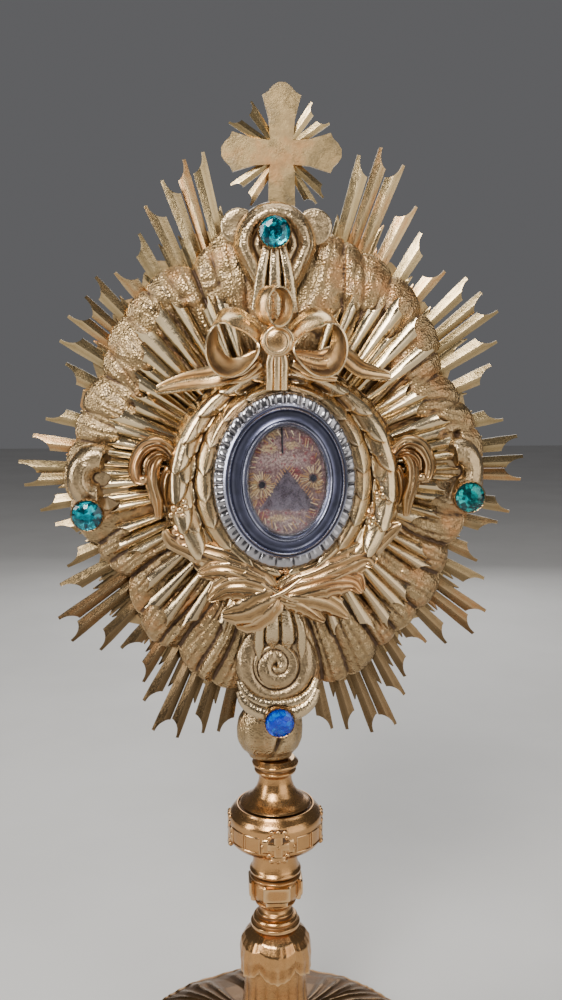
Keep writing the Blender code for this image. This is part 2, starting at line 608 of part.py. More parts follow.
def rear_door():
    """The oval door that closes the case behind, on a three-knuckle hinge."""
    middle = (CASE_X, CASE_Z)
    axis = moving("door_axis", (HINGE_X, HINGE_Y, CASE_Z))
    front = CASE_REAR + GAP
    place = {"parent": axis, "origin": (HINGE_X, HINGE_Y, CASE_Z)}
    rings = [oval((31.0, 39.0), front, middle, 40), oval((31.0, 39.0), front + DOOR_THICK, middle, 40)]
    door = loft("rear_door", rings, "gilt_brass", **place)
    arm = box("door_arm", (HINGE_X + 1.9, front + 0.1, CASE_Z - 4.5),
              (CASE_X - 24, front + DOOR_THICK + 0.5, CASE_Z + 4.5), **place)
    knuckle = rod("door_knuckle", 2.3, (HINGE_X, HINGE_Y, CASE_Z - 4.5), (HINGE_X, HINGE_Y, CASE_Z + 4.5),
                  "iron", **place)
    pin_hole = rod("door_pin_hole", 1.3, (HINGE_X, HINGE_Y, CASE_Z - 6), (HINGE_X, HINGE_Y, CASE_Z + 6),
                   "iron", **place)
    rivet_hole = rod("door_rivet_hole", 1.18, (LATCH_X, front - 1, CASE_Z), (LATCH_X, front + 3, CASE_Z),
                     "iron", **place)
    for operation, tool in (("UNION", arm), ("UNION", knuckle), ("DIFFERENCE", pin_hole),
                            ("DIFFERENCE", rivet_hole)):
        boolean(door, operation, tool)
    rod("hinge_pin", 1.2, (HINGE_X, HINGE_Y, CASE_Z - 14), (HINGE_X, HINGE_Y, CASE_Z + 14), "iron", sides=16)
    bracket = box("hinge_bracket", (HINGE_X - 1.6, 4.0, CASE_Z - 12), (HINGE_X + 4.2, 6.4, CASE_Z + 12),
                  "gilt_brass")
    hole = rod("bracket_pin_hole", 1.21, (HINGE_X, HINGE_Y, CASE_Z - 15), (HINGE_X, HINGE_Y, CASE_Z + 15), "iron")
    for k, sign in enumerate((-1, 1)):
        low, high = sorted((CASE_Z + sign * 5.0, CASE_Z + sign * 12.0))
        web = box(f"hinge_web_{k}", (HINGE_X - 1.6, 6.0, low), (HINGE_X + 1.6, HINGE_Y, high), helper=True)
        eye = rod(f"hinge_eye_{k}", 2.3, (HINGE_X, HINGE_Y, low), (HINGE_X, HINGE_Y, high), "iron", helper=True)
        boolean(bracket, "UNION", web)
        boolean(bracket, "UNION", eye)
    boolean(bracket, "DIFFERENCE", hole)


def latch():
    """The turn button on the door, its rivet, and the keeper on the case that it slides under."""
    front = CASE_REAR + GAP + DOOR_THICK
    at = (LATCH_X, front + 0.3, CASE_Z)
    axis = moving("latch_axis", at)
    bar = [(-2.4, -5), (2.4, -5), (2.6, 0), (2.2, 8), (1.2, 10), (-1.2, 10), (-2.2, 8), (-2.6, 0)]
    button = sheet("latch_button", [(LATCH_X + u, CASE_Z + v) for u, v in bar], at[1], at[1] + 1.2,
                   "stem_bronze", parent=axis, origin=at)
    hole = rod("latch_hole", 1.18, (LATCH_X, at[1] - 1, CASE_Z), (LATCH_X, at[1] + 3, CASE_Z), "iron",
               parent=axis, origin=at)
    boolean(button, "DIFFERENCE", hole)
    stud = [(1.1, CASE_REAR + 0.6), (1.1, at[1] + 1.6), (2.2, at[1] + 1.6), (2.2, at[1] + 2.6)]
    loft("latch_rivet", [oval((r, r), y, (LATCH_X, CASE_Z), 16) for r, y in stud], "iron")
    post = CASE_X + CASE_HALF[0] + GAP
    keeper = [(post, 4.0), (post + 6.4, 4.0), (post + 6.4, 12.6), (post + 1.6, 12.6), (post + 1.6, 11.5),
              (post + 5.2, 11.5), (post + 5.2, 5.2), (post, 5.2)]
    rings = [[(x, y, z) for x, y in keeper] for z in (CASE_Z - 4, CASE_Z + 4)]
    loft("latch_keeper", rings, "gilt_brass")


def main():
    for obj in list(bpy.data.objects):
        bpy.data.objects.remove(obj)
    foot()
    fluted_column()
    leaf_collar()
    stem()
    knop_crosses()
    bulb()
    tie_rod()
    back_plate()
    ray_sheet()
    cloud_ring()
    scrolls()
    stones()
    cross()
    case()
    theca()
    wreath()
    bow()
    sprays()
    rear_door()
    latch()


main()
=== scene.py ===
"""Appearance of a sunburst reliquary monstrance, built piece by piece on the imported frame.

Shapes are written in millimetres; piece() turns them into metres. +Z is up and the front faces -Y.
"""
import math

import bmesh
import bpy
import numpy as np
from mathutils.bvhtree import BVHTree
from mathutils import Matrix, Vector


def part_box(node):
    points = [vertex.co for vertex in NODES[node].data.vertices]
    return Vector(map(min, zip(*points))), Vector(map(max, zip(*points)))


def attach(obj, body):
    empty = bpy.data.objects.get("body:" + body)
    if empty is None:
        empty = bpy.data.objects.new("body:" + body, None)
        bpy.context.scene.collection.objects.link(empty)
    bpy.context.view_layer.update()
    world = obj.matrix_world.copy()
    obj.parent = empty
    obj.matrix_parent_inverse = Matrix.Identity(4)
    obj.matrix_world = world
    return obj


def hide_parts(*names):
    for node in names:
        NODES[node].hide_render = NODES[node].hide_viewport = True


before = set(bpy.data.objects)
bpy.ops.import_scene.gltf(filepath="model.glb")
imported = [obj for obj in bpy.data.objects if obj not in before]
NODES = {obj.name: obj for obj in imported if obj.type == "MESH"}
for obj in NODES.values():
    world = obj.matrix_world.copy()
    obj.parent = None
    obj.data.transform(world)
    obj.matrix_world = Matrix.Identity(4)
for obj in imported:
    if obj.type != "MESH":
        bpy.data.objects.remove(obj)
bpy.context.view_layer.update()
RNG = np.random.default_rng(11)
MM = 0.001
TAU = 2 * math.pi


# ---------------------------------------------------------------- places

def box(node):
    """Lowest and highest corner of a CAD node, in millimetres."""
    low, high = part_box(node)
    return np.array(low) / MM, np.array(high) / MM


def extent(node):
    """Middle and half size of a CAD node, in millimetres."""
    low, high = box(node)
    return (low + high) / 2, (high - low) / 2


def middle(node):
    """The middle of a CAD node's box, in millimetres."""
    return extent(node)[0]


# (x, z) of the middle of the rays, the clouds, the wreath and the theca
GLORY = (0.0, 337.0)
CLOUD = (0.0, 340.0)
WREATH = middle("wreath")[[0, 2]]
CASE = middle("theca_frame")[[0, 2]]


# ---------------------------------------------------------------- numbers

def bell(value, peak, width):
    """1 at the peak, falling off smoothly over the width on either side of it."""
    return np.exp(-((value - peak) / width) ** 2)


def arch(value):
    """1 at 0, falling steeply to 0 where the value reaches 1."""
    return np.sqrt(np.clip(1 - value, 0, 1))


def dial(steps):
    """The angles of evenly spaced steps round a circle."""
    return np.arange(steps) * TAU / steps


def spots(x, y, z):
    """Points from coordinates that may be grids, rows or single numbers."""
    return np.stack(np.broadcast_arrays(x, y, z), -1).astype(float)


def upright(reach, angle, height):
    """Points at a distance from the stem's axis, an angle from the front and a height."""
    return spots(reach * np.sin(angle), -reach * np.cos(angle), height)


# ---------------------------------------------------------------- mesh parts

def quads(rows, cols, wrap_rows=False, wrap_cols=False):
    """Faces of a grid of rows x cols points."""
    r, c = np.meshgrid(np.arange(rows if wrap_rows else rows - 1),
                       np.arange(cols if wrap_cols else cols - 1), indexing="ij")
    down, right = (r + 1) % rows, (c + 1) % cols
    faces = np.stack([r * cols + c, r * cols + right, down * cols + right, down * cols + c], -1)
    return faces.reshape(-1, 4).tolist()


def part(points, faces, tint=0.5):
    """A mesh part: its points, its faces and a shade of colour for each point."""
    points = np.asarray(points, float).reshape(-1, 3)
    return points, faces, np.full(len(points), float(tint))


def join(parts):
    """One mesh part out of several."""
    points, faces, tints, start = [], [], [], 0
    for verts, polys, tint in parts:
        points.append(verts)
        tints.append(tint)
        faces += [[i + start for i in face] for face in polys]
        start += len(verts)
    return np.concatenate(points), faces, np.concatenate(tints)


def slab(top, bottom, tint=0.5):
    """A closed solid between two grids of the same size."""
    rows, cols = top.shape[:2]
    size = rows * cols
    faces = quads(rows, cols)
    faces += [[i + size for i in reversed(face)] for face in faces]
    edge = ([(0, c) for c in range(cols)] + [(r, cols - 1) for r in range(1, rows)]
            + [(rows - 1, c) for c in range(cols - 2, -1, -1)] + [(r, 0) for r in range(rows - 2, 0, -1)])
    loop = [r * cols + c for r, c in edge]
    for a, b in zip(loop, loop[1:] + loop[:1]):
        faces.append([b, a, a + size, b + size])
    return part(np.concatenate([top.reshape(-1, 3), bottom.reshape(-1, 3)]), faces, tint)


def tube(sections, ring=False, tint=0.5):
    """A closed skin through a row of closed sections; ring joins the last to the first."""
    sections = np.asarray(sections, float)
    rows, cols = sections.shape[:2]
    faces = quads(rows, cols, ring, True)
    if not ring:
        faces.append(list(range(cols)))
        faces.append([(rows - 1) * cols + c for c in reversed(range(cols))])
    return part(sections, faces, tint)


def hoop(rings, tint=0.5):
    """A closed ring whose section is given by rows of points that run round it."""
    return tube(np.array(rings).transpose(1, 0, 2), ring=True, tint=tint)


def lathe(profile, steps, ripple=None):
    """A solid turned about the stem's axis from (radius, z) pairs; ripple(angle, spot) scales each radius."""
    angles = dial(steps)
    return tube([upright(spot[0] * (1 if ripple is None else ripple(angles, spot)), angles, spot[1])
                 for spot in profile])


def rounded(profile, extra=4, pull=0.25):
    """Cuts the corners of an open profile into short arcs."""
    pts = np.asarray(profile, float)
    out = [pts[0]]
    for before, at, after in zip(pts, pts[1:], pts[2:]):
        start, end = at + (before - at) * pull, at + (after - at) * pull
        out += [(1 - t) ** 2 * start + 2 * t * (1 - t) * at + t * t * end for t in np.linspace(0, 1, extra)]
    return np.array(out + [pts[-1]])


def spline(points, count):
    """A smooth curve through the points, count points long."""
    pts = np.asarray(points, float)
    padded = np.vstack([2 * pts[0] - pts[1], pts, 2 * pts[-1] - pts[-2]])
    out = []
    for t in np.linspace(0, len(pts) - 1 - 1e-9, count):
        i, f = int(t), t - int(t)
        a, b, c, d = padded[i:i + 4]
        out.append(0.5 * (2 * b + (c - a) * f + (2 * a - 5 * b + 4 * c - d) * f ** 2
                          + (3 * b - a - 3 * c + d) * f ** 3))
    return np.array(out)


def frames(path, facing=(0.0, -1.0, 0.0)):
    """Along, across and out directions at each point of a path; out leans towards facing."""
    along = np.gradient(path, axis=0)
    along /= np.linalg.norm(along, axis=1)[:, None]
    facing = np.broadcast_to(np.asarray(facing, float), path.shape)
    across = np.cross(along, facing)
    across /= np.linalg.norm(across, axis=1)[:, None]
    return along, across, np.cross(across, along)


def cord_of(path, wide, high, steps=16, facing=(0.0, -1.0, 0.0), tint=0.5):
    """A rounded bar along a path, with half widths wide and high that may change along it."""
    path = np.asarray(path, float)
    _, across, out = frames(path, facing)
    turn = dial(steps)[None, :, None]
    wide, high = (np.broadcast_to(size, len(path))[:, None, None] for size in (wide, high))
    return tube(path[:, None] + across[:, None] * wide * np.cos(turn) + out[:, None] * high * np.sin(turn),
                tint=tint)


def blob(centre, radii, rows=10, cols=16, tint=0.5):
    """A small rounded bead."""
    fall, turn = np.linspace(0.12, math.pi - 0.12, rows)[:, None], dial(cols)
    return tube(spots(centre[0] + radii[0] * np.sin(fall) * np.sin(turn), centre[1] - radii[1] * np.cos(fall),
                      centre[2] + radii[2] * np.sin(fall) * np.cos(turn)), tint=tint)


def read(items, field, width=3, kind=float):
    """One property of all of a mesh's points or edges, as the rows of an array."""
    values = np.empty(len(items) * width, dtype=kind)
    items.foreach_get(field, values)
    return values.reshape(-1, width)


# ---------------------------------------------------------------- objects

def relief(mesh, rounds, depth):
    """0 in hollows to 1 on crests: how far each point stands out of its smoothed surroundings, in mm."""
    points, normals = read(mesh.vertices, "co") / MM, read(mesh.vertices, "normal")
    a, b = read(mesh.edges, "vertices", 2, np.int32).T
    count = len(points)
    degree = np.maximum(np.bincount(a, minlength=count) + np.bincount(b, minlength=count), 1)
    calm = points.copy()
    for _ in range(rounds):
        for k in range(3):
            total = np.bincount(a, calm[b, k], minlength=count) + np.bincount(b, calm[a, k], minlength=count)
            calm[:, k] = 0.4 * calm[:, k] + 0.6 * total / degree
    out = ((points - calm) * normals).sum(1)
    return np.clip(0.5 + out / (2 * depth), 0, 1)


def piece(name, shapes, material, nodes, sharp=38, rounds=10, depth=0.35):
    """Makes one object from mesh parts, gives it its wear value (rubbing and dirt, with painted highlight on
    crests and painted shade in hollows), material and body, and hides the CAD nodes it replaces.
    """
    points, faces, tints = join(shapes)
    mesh = bpy.data.meshes.new(name)
    mesh.from_pydata((points * MM).tolist(), [], faces)
    mesh.attributes.new("tint", "FLOAT", "POINT").data.foreach_set("value", tints)
    bm = bmesh.new()
    bm.from_mesh(mesh)
    bmesh.ops.remove_doubles(bm, verts=bm.verts, dist=0.01 * MM)
    bmesh.ops.recalc_face_normals(bm, faces=bm.faces)
    bm.to_mesh(mesh)
    bm.free()
    mesh.shade_smooth()
    if sharp is not None:
        mesh.set_sharp_from_angle(angle=math.radians(sharp))
    # 0 in hollows to 1 on crests: low values become dirt and painted shade, high ones rubbed gilding with a
    #                              painted highlight
    wear = relief(mesh, rounds, depth)
    mesh.attributes.new("wear", "FLOAT", "POINT").data.foreach_set("value", wear)
    mesh.materials.append(material)
    obj = bpy.data.objects.new(name, mesh)
    bpy.context.scene.collection.objects.link(obj)
    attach(obj, "body")
    if nodes:
        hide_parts(*nodes)
    return obj
# how strongly sheltered points are darkened: dirt and painted shade in crevices and between parts
SHELTER_RAYS, SHELTER_LEAN, SHELTER_REACH, SHELTER_DIRT_AND_SHADE = 5, 0.85, 4.5, 0.54


def sheltered(mesh, tree):
    """How walled in each point of a mesh is, 0 to 1, from short rays cast round its normal."""
    points, normals = read(mesh.vertices, "co") / MM, read(mesh.vertices, "normal")
    spare = np.where(np.abs(normals[:, 2:]) < 0.9, (0.0, 0.0, 1.0), (1.0, 0.0, 0.0))
    side = np.cross(normals, spare)
    side /= np.maximum(np.linalg.norm(side, axis=1), 1e-9)[:, None]
    other = np.cross(normals, side)
    starts = (points + 0.12 * normals).tolist()
    found = np.zeros(len(points))
    for turn in dial(SHELTER_RAYS):
        sideways = side * math.cos(turn) + other * math.sin(turn)
        aims = normals * math.cos(SHELTER_LEAN) + sideways * math.sin(SHELTER_LEAN)
        hits = [tree.ray_cast(start, aim, SHELTER_REACH)[3] for start, aim in zip(starts, aims.tolist())]
        found += [0.0 if far is None else 1 - far / SHELTER_REACH for far in hits]
    return found / SHELTER_RAYS


def settle_dirt(objects):
    """Lowers the wear value wherever a point is sheltered by its own piece or by one beside it: dirt and
    painted shade in crevices and between parts.
    """
    points, faces = [], []
    for obj in objects:
        faces += [[v + len(points) for v in polygon.vertices] for polygon in obj.data.polygons]
        points += (read(obj.data.vertices, "co") / MM).tolist()
    tree = BVHTree.FromPolygons(points, faces)
    for obj in objects:
        values = obj.data.attributes["wear"].data
        # sheltered points lose wear value, so they take dirt and painted shade
        wear = read(values, "value", 1)[:, 0] + 0.06 - SHELTER_DIRT_AND_SHADE * sheltered(obj.data, tree) ** 0.8
        values.foreach_set("value", np.clip(wear, 0, 1))


# ---------------------------------------------------------------- materials

def node(tree, kind, inputs=None, **settings):
    """A new shader node with its settings, and its inputs given as numbers or as links."""
    made = tree.nodes.new(kind)
    for key, value in settings.items():
        setattr(made, key, value)
    for key, value in (inputs or {}).items():
        if isinstance(value, Value):
            value = value.socket
        if isinstance(value, bpy.types.NodeSocket):
            tree.links.new(value, made.inputs[key])
        else:
            made.inputs[key].default_value = value
    return made


class Value:
    """A number that varies over a material, and takes part in sums and products."""

    def __init__(self, tree, socket):
        self.tree, self.socket = tree, socket

    def math(self, operation, other=0.0):
        made = node(self.tree, "ShaderNodeMath", {0: self, 1: other}, operation=operation)
        return Value(self.tree, made.outputs[0])

    def __add__(self, other):
        return self.math("ADD", other)

    def __sub__(self, other):
        return self.math("SUBTRACT", other)

    def __mul__(self, other):
        return self.math("MULTIPLY", other)

    def __pow__(self, other):
        return self.math("POWER", other)

    def ramp(self, low, high, start=0.0, end=1.0):
        """Goes smoothly from start to end while the value goes from low to high."""
        inputs = {"Value": self, "From Min": low, "From Max": high, "To Min": start, "To Max": end}
        made = node(self.tree, "ShaderNodeMapRange", inputs, interpolation_type="SMOOTHSTEP")
        return Value(self.tree, made.outputs[0])


class Paint:
    """A material, with the nodes that its colour, gloss and bumps are made of."""

    def __init__(self, name):
        self.material = bpy.data.materials.new(name)
        self.material.use_nodes = True
        self.tree = self.material.node_tree
        self.tree.nodes.clear()
        self.place = node(self.tree, "ShaderNodeTexCoord").outputs["Object"]
        self.shader = node(self.tree, "ShaderNodeBsdfPrincipled")
        output = node(self.tree, "ShaderNodeOutputMaterial")
        self.tree.links.new(self.shader.outputs[0], output.inputs["Surface"])

    def set(self, **inputs):
        """Sets or links inputs of the shader; base_color stands for "Base Color"."""
        for key, value in inputs.items():
            socket = self.shader.inputs[key.replace("_", " ").title()]
            if isinstance(value, Value):
                value = value.socket
            if isinstance(value, bpy.types.NodeSocket):
                self.tree.links.new(value, socket)
            else:
                socket.default_value = value

    def attribute(self, name):
        return Value(self.tree, node(self.tree, "ShaderNodeAttribute", attribute_name=name).outputs["Fac"])

    def noise(self, scale, detail=3.0, rough=0.55, distort=0.0):
        inputs = {"Vector": self.place, "Scale": scale, "Detail": detail, "Roughness": rough,
                  "Distortion": distort}
        return Value(self.tree, node(self.tree, "ShaderNodeTexNoise", inputs).outputs["Fac"])

    def cells(self, scale, output):
        return node(self.tree, "ShaderNodeTexVoronoi", {"Vector": self.place, "Scale": scale}).outputs[output]

    def split(self, kind, vector, channel):
        """One channel of a vector or a colour."""
        return Value(self.tree, node(self.tree, kind, {0: vector}).outputs[channel])

    def blend(self, factor, a, b, mode="MIX"):
        inputs = {0: factor, 6: a, 7: b}
        return node(self.tree, "ShaderNodeMix", inputs, data_type="RGBA", blend_type=mode).outputs[2]

    def bump(self, height, strength, distance):
        inputs = {"Height": height, "Strength": strength, "Distance": distance * MM}
        self.set(normal=node(self.tree, "ShaderNodeBump", inputs).outputs[0])


def aged_metal(name, face, deep, pale, warm, rough, warmth=0.5, stipple=0.0, worn=True, dirt=1.0,
               lacquer=0.12, tarnish=0.0, grit=0.25, wrinkle=1.0):
    """Old metal: dirt and painted shade in the hollows, rubbed crests with a painted highlight, coppery and
    greyish patches, pits and fine scratches.
    """
    paint = Paint(name)
    patches = paint.noise(55.0, 4.0, 0.6)
    stains = paint.noise(190.0, 5.0, 0.62, 0.4)
    grain = paint.noise(1400.0, 3.0, 0.6)
    # with the relief's wear value the hollows get dirt and painted shade and the crests a painted highlight;
    # without it the wear is random
    if worn:
        wear, tint = paint.attribute("wear"), paint.attribute("tint")
    else:
        wear = paint.noise(70.0, 6.0, 0.66).ramp(0.3, 0.7, 0.28, 0.78)
        tint = patches.ramp(0.2, 0.8, 0.3, 0.7)
    mottled = wear + (stains - 0.5) * 0.28
    hue = tint + (patches - 0.5) * 1.3
    colour = paint.blend(hue.ramp(0.45, 0.95, 0.0, warmth), face, warm)
    # crests take the pale colour: rubbed gilding and a painted highlight
    colour = paint.blend(mottled.ramp(0.58, 0.95, 0.0, 0.6), colour, pale)
    # low values take the deep colour: dirt, and painted shade in the hollows
    colour = paint.blend(mottled.ramp(0.50, 0.20, 0.0, dirt), colour, deep)
    specks = Value(paint.tree, paint.cells(420.0, "Distance"))
    spotted = specks.ramp(0.2, 0.08) * stains.ramp(0.52, 0.68)
    colour = paint.blend(spotted * 0.6, colour, deep)
    # darker towards the bottom of the head
    if tarnish:
        level = paint.split("ShaderNodeSeparateXYZ", paint.place, 2) + patches * 0.05
        low = paint.blend(1.0, colour, LOWER_DARKENING, "MULTIPLY")
        colour = paint.blend(level.ramp(*LOWER_DARKENING_SPAN, 0.0, tarnish), colour, low)
    gloss = mottled.ramp(0.25, 0.75, rough[1], rough[0]) + (grain - 0.5) * 0.22 + (patches - 0.5) * 0.25
    paint.set(base_color=colour, roughness=gloss, metallic=mottled.ramp(0.15, 0.42, 0.55, 1.0),
              coat_weight=lacquer, coat_roughness=0.22)
    height = grain * 0.35 + stains * wrinkle
    if stipple:
        height = height + Value(paint.tree, paint.cells(950.0, "Distance")) * stipple
    paint.bump(height, 0.6, grit)
    return paint.material


# darkening of the lower half of the head: its colour, and the heights in metres between which it fades in
LOWER_DARKENING, LOWER_DARKENING_SPAN = (0.30, 0.26, 0.25, 1), (0.42, 0.25)
# DEEP: dirt and painted shade in hollows; PALE: rubbed gilding and painted highlight on crests; WARM: coppery
# patches
DEEP, PALE, WARM = (0.07, 0.036, 0.016), (0.76, 0.60, 0.37), (0.52, 0.22, 0.075)


def gilt(name, face, rough, pale=PALE, deep=DEEP, warm=WARM, **settings):
    """Aged metal in the shades of old gilding, unless it is given its own."""
    return aged_metal(name, *((*shade, 1) for shade in (face, deep, pale, warm)), rough, **settings)


MATERIALS = {
    "rays": gilt("ray_gilt", (0.31, 0.225, 0.11), (0.24, 0.46), (0.50, 0.38, 0.21), warmth=0.55, tarnish=0.95,
                 lacquer=0.04),
    "shine": gilt("burnished_gilt", (0.60, 0.47, 0.28), (0.18, 0.38), warmth=0.35, tarnish=0.6),
    "scroll": gilt("rubbed_gilt", (0.46, 0.335, 0.19), (0.24, 0.46), warmth=0.6, stipple=0.8, tarnish=0.3),
    "leaf": gilt("leaf_gilt", (0.34, 0.21, 0.095), (0.2, 0.46), (0.62, 0.45, 0.26), warmth=0.6),
    "foot": gilt("foot_bronze", (0.18, 0.098, 0.042), (0.26, 0.5), (0.42, 0.26, 0.12), warmth=0.6,
                 lacquer=0.0),
    "cloud": gilt("stippled_gilt", (0.29, 0.20, 0.10), (0.28, 0.5), (0.60, 0.44, 0.25), warmth=0.85,
                  stipple=1.6, grit=0.3, wrinkle=0.35),
    "wreath": gilt("wreath_gilt", (0.43, 0.30, 0.155), (0.22, 0.44)),
    "ribbon": gilt("ribbon_gilt", (0.72, 0.50, 0.26), (0.26, 0.48), warm=(0.48, 0.25, 0.085), warmth=0.85),
    "stem": gilt("stem_bronze", (0.47, 0.255, 0.10), (0.18, 0.42), (0.74, 0.50, 0.26), warmth=0.75),
    "silver": gilt("silvered", (0.17, 0.165, 0.175), (0.2, 0.42), (0.44, 0.43, 0.45), (0.04, 0.036, 0.036),
                   (0.36, 0.30, 0.24)),
    "dark": gilt("dark_frame", (0.09, 0.095, 0.15), (0.25, 0.45), (0.62, 0.64, 0.78), (0.02, 0.022, 0.035),
                 (0.06, 0.05, 0.06), warmth=0.3),
    "plain_gilt": gilt("plate_gilt", (0.46, 0.325, 0.16), (0.32, 0.5), worn=False, dirt=0.4),
    "plain_bronze": gilt("turned_bronze", (0.50, 0.285, 0.115), (0.25, 0.45), worn=False, dirt=0.6),
    "plain_dark": gilt("cup_dark", (0.04, 0.045, 0.065), (0.3, 0.5), (0.2, 0.21, 0.28), (0.012, 0.013, 0.02),
                       (0.06, 0.05, 0.06), worn=False),
    "iron": gilt("old_iron", (0.20, 0.19, 0.18), (0.35, 0.6), (0.48, 0.47, 0.45), (0.05, 0.03, 0.02),
                 (0.22, 0.11, 0.06), warmth=0.8, worn=False),
}


def crystal(name, colour):
    """Clear glass with faint smears."""
    paint = Paint(name)
    paint.shader.inputs["IOR"].default_value = 1.45
    paint.set(base_color=(*colour, 1), transmission_weight=1.0,
              roughness=paint.noise(160.0).ramp(0.45, 0.9, 0.02, 0.14))
    paint.bump(paint.noise(60.0, 1.0), 0.2, 0.05)
    return paint.material


def foil(name, dark, bright):
    """Coloured foil behind a cut stone, lit unevenly from facet to facet."""
    paint = Paint(name)
    level = paint.split("ShaderNodeSeparateColor", paint.cells(560.0, "Color"), 0)
    level = level * 0.7 + paint.noise(500.0) * 0.5
    paint.set(base_color=paint.blend(level.ramp(0.35, 0.95), (*dark, 1), (*bright, 1)), metallic=0.75,
              roughness=level.ramp(0.0, 1.0, 0.38, 0.15))
    paint.bump(level, 0.7, 0.3)
    return paint.material


# ---------------------------------------------------------------- rays

# (side of the hook: -1 towards the top and 1 away from it; width; degrees from the top and tip radius of the
# ray on the right; the same for the ray on the left)
RAY_PAIRS = [
    (-1, 7.6, 16.0, 156.5, 13.8, 155.5), (-1, 6.4, 19.0, 163.0, 17.1, 154.5),
    (1, 7.0, 21.9, 159.5, 20.1, 148.5), (1, 7.8, 27.0, 145.0, 24.7, 141.0),
    (-1, 7.8, 32.9, 135.5, 31.0, 131.0), (1, 7.8, 39.2, 128.0, 37.2, 122.5),
    (-1, 7.4, 46.2, 133.0, 43.8, 127.0), (-1, 6.4, 50.4, 134.0, 48.2, 124.0),
    (1, 6.4, 53.6, 135.0, 51.8, 124.5), (1, 7.8, 58.7, 127.0, 57.0, 121.5),
    (-1, 7.8, 65.6, 119.0, 64.1, 114.0), (1, 7.6, 76.3, 117.0, 75.3, 114.5),
    (-1, 7.4, 83.7, 123.0, 82.6, 119.0), (-1, 6.2, 88.2, 125.3, 88.6, 125.3),
    (1, 6.2, 91.4, 124.5, 91.8, 123.0), (1, 7.4, 99.0, 121.0, 97.8, 117.0),
    (-1, 7.4, 105.0, 116.5, 104.9, 111.5)]
# (degrees from the top, tip radius, side of the hook, width), the same on both sides
RAYS_LOWER = [
    (113.0, 113.5, 1, 7.6), (119.2, 121.0, -1, 7.6), (125.3, 131.0, -1, 6.8), (128.7, 133.0, 1, 6.8),
    (134.3, 126.0, 1, 7.4), (140.4, 118.5, -1, 7.4), (146.8, 126.5, 1, 7.0), (151.4, 135.0, -1, 7.0),
    (155.8, 147.0, -1, 6.8), (158.8, 146.0, 1, 6.8), (163.4, 140.0, 1, 7.2), (168.9, 137.5, -1, 7.4)]
# height of a ray's ridge, thickness of its sheet, depth of the bite in its end and width of its hooked tip
RAY_RIDGE, RAY_SHEET, RAY_BITE, HOOK_TIP = 1.9, 0.8, 8.5, 1.6
SPUR_WIDTH, SPUR_REACH, SPUR_POINT = 2.1, 0.43, 3.6
RAY_ROOT = (88.0, 106.0)  # half axes of the oval, hidden by the clouds, where the rays start


def oval(radii, angle):
    """How far an upright oval with half axes radii reaches at an angle from the top."""
    return 1 / np.hypot(np.sin(angle) / radii[0], np.cos(angle) / radii[1])


def polar(centre, angle, radius, aside=0.0):
    """(x, z) at an angle clockwise from the top and a radius; aside is measured across the radius."""
    return (centre[0] + radius * np.sin(angle) + aside * np.cos(angle),
            centre[1] + radius * np.cos(angle) - aside * np.sin(angle))


def ray_bar(centre, angle, root, tip, hook, width, ridge=RAY_RIDGE, sheet=RAY_SHEET, bite=RAY_BITE,
            base=0.0, slope=0.0, narrow=0.72, point=HOOK_TIP, tint=0.5, crown=0.92):
    """A folded strip with a ridge, a hooked tip on one side and a hollow bite down to a plain corner."""
    shoulder = tip - bite
    reach = np.concatenate([np.linspace(root, shoulder, 7), shoulder + bite * np.linspace(0.03, 1, 11)])
    grow = np.clip((reach - root) / (shoulder - root), 0, 1)
    half = width / 2 * (narrow + (1 - narrow) * grow)
    cut = np.clip((reach - shoulder) / bite, 0, 1)
    plain = -half + arch((1 - cut) ** 2) * (2 * half - point)
    crest = np.maximum(plain, 0)
    share = np.array([0.0, 0.5, 1.0])
    aside = np.concatenate([plain[:, None] + (crest - plain)[:, None] * share,
                            crest[:, None] + (half - crest)[:, None] * share[1:]], 1)
    rise = sheet + ridge * np.clip(1 - np.abs(aside) / half[:, None], 0, 1) ** crown
    lift = base + slope * (reach - root)[:, None]
    x, z = polar(centre, angle, reach[:, None], hook * aside)
    return slab(spots(x, lift - rise, z), spots(x, lift - rise + sheet, z), tint)


def spur(centre, angle, root, end, side, start, slope, tint):
    """The narrow strip beside a ray that stops short of its tip in a point."""
    reach = np.array([root, (root + end) / 2, end - SPUR_POINT, end - 0.4 * SPUR_POINT, end])
    inner = np.array([0.0, 0.0, 0.0, 0.55, 0.88])[:, None] * SPUR_WIDTH
    aside = start - 0.4 + inner + (SPUR_WIDTH + 0.4 - inner) * np.array([0.0, 0.5, 1.0])
    x, z = polar(centre, angle, reach[:, None], side * aside)
    lift = slope * (reach - root)[:, None] - np.array([0.55, 1.0, 0.75])
    return slab(spots(x, lift, z), spots(x, lift + 0.5, z), tint)


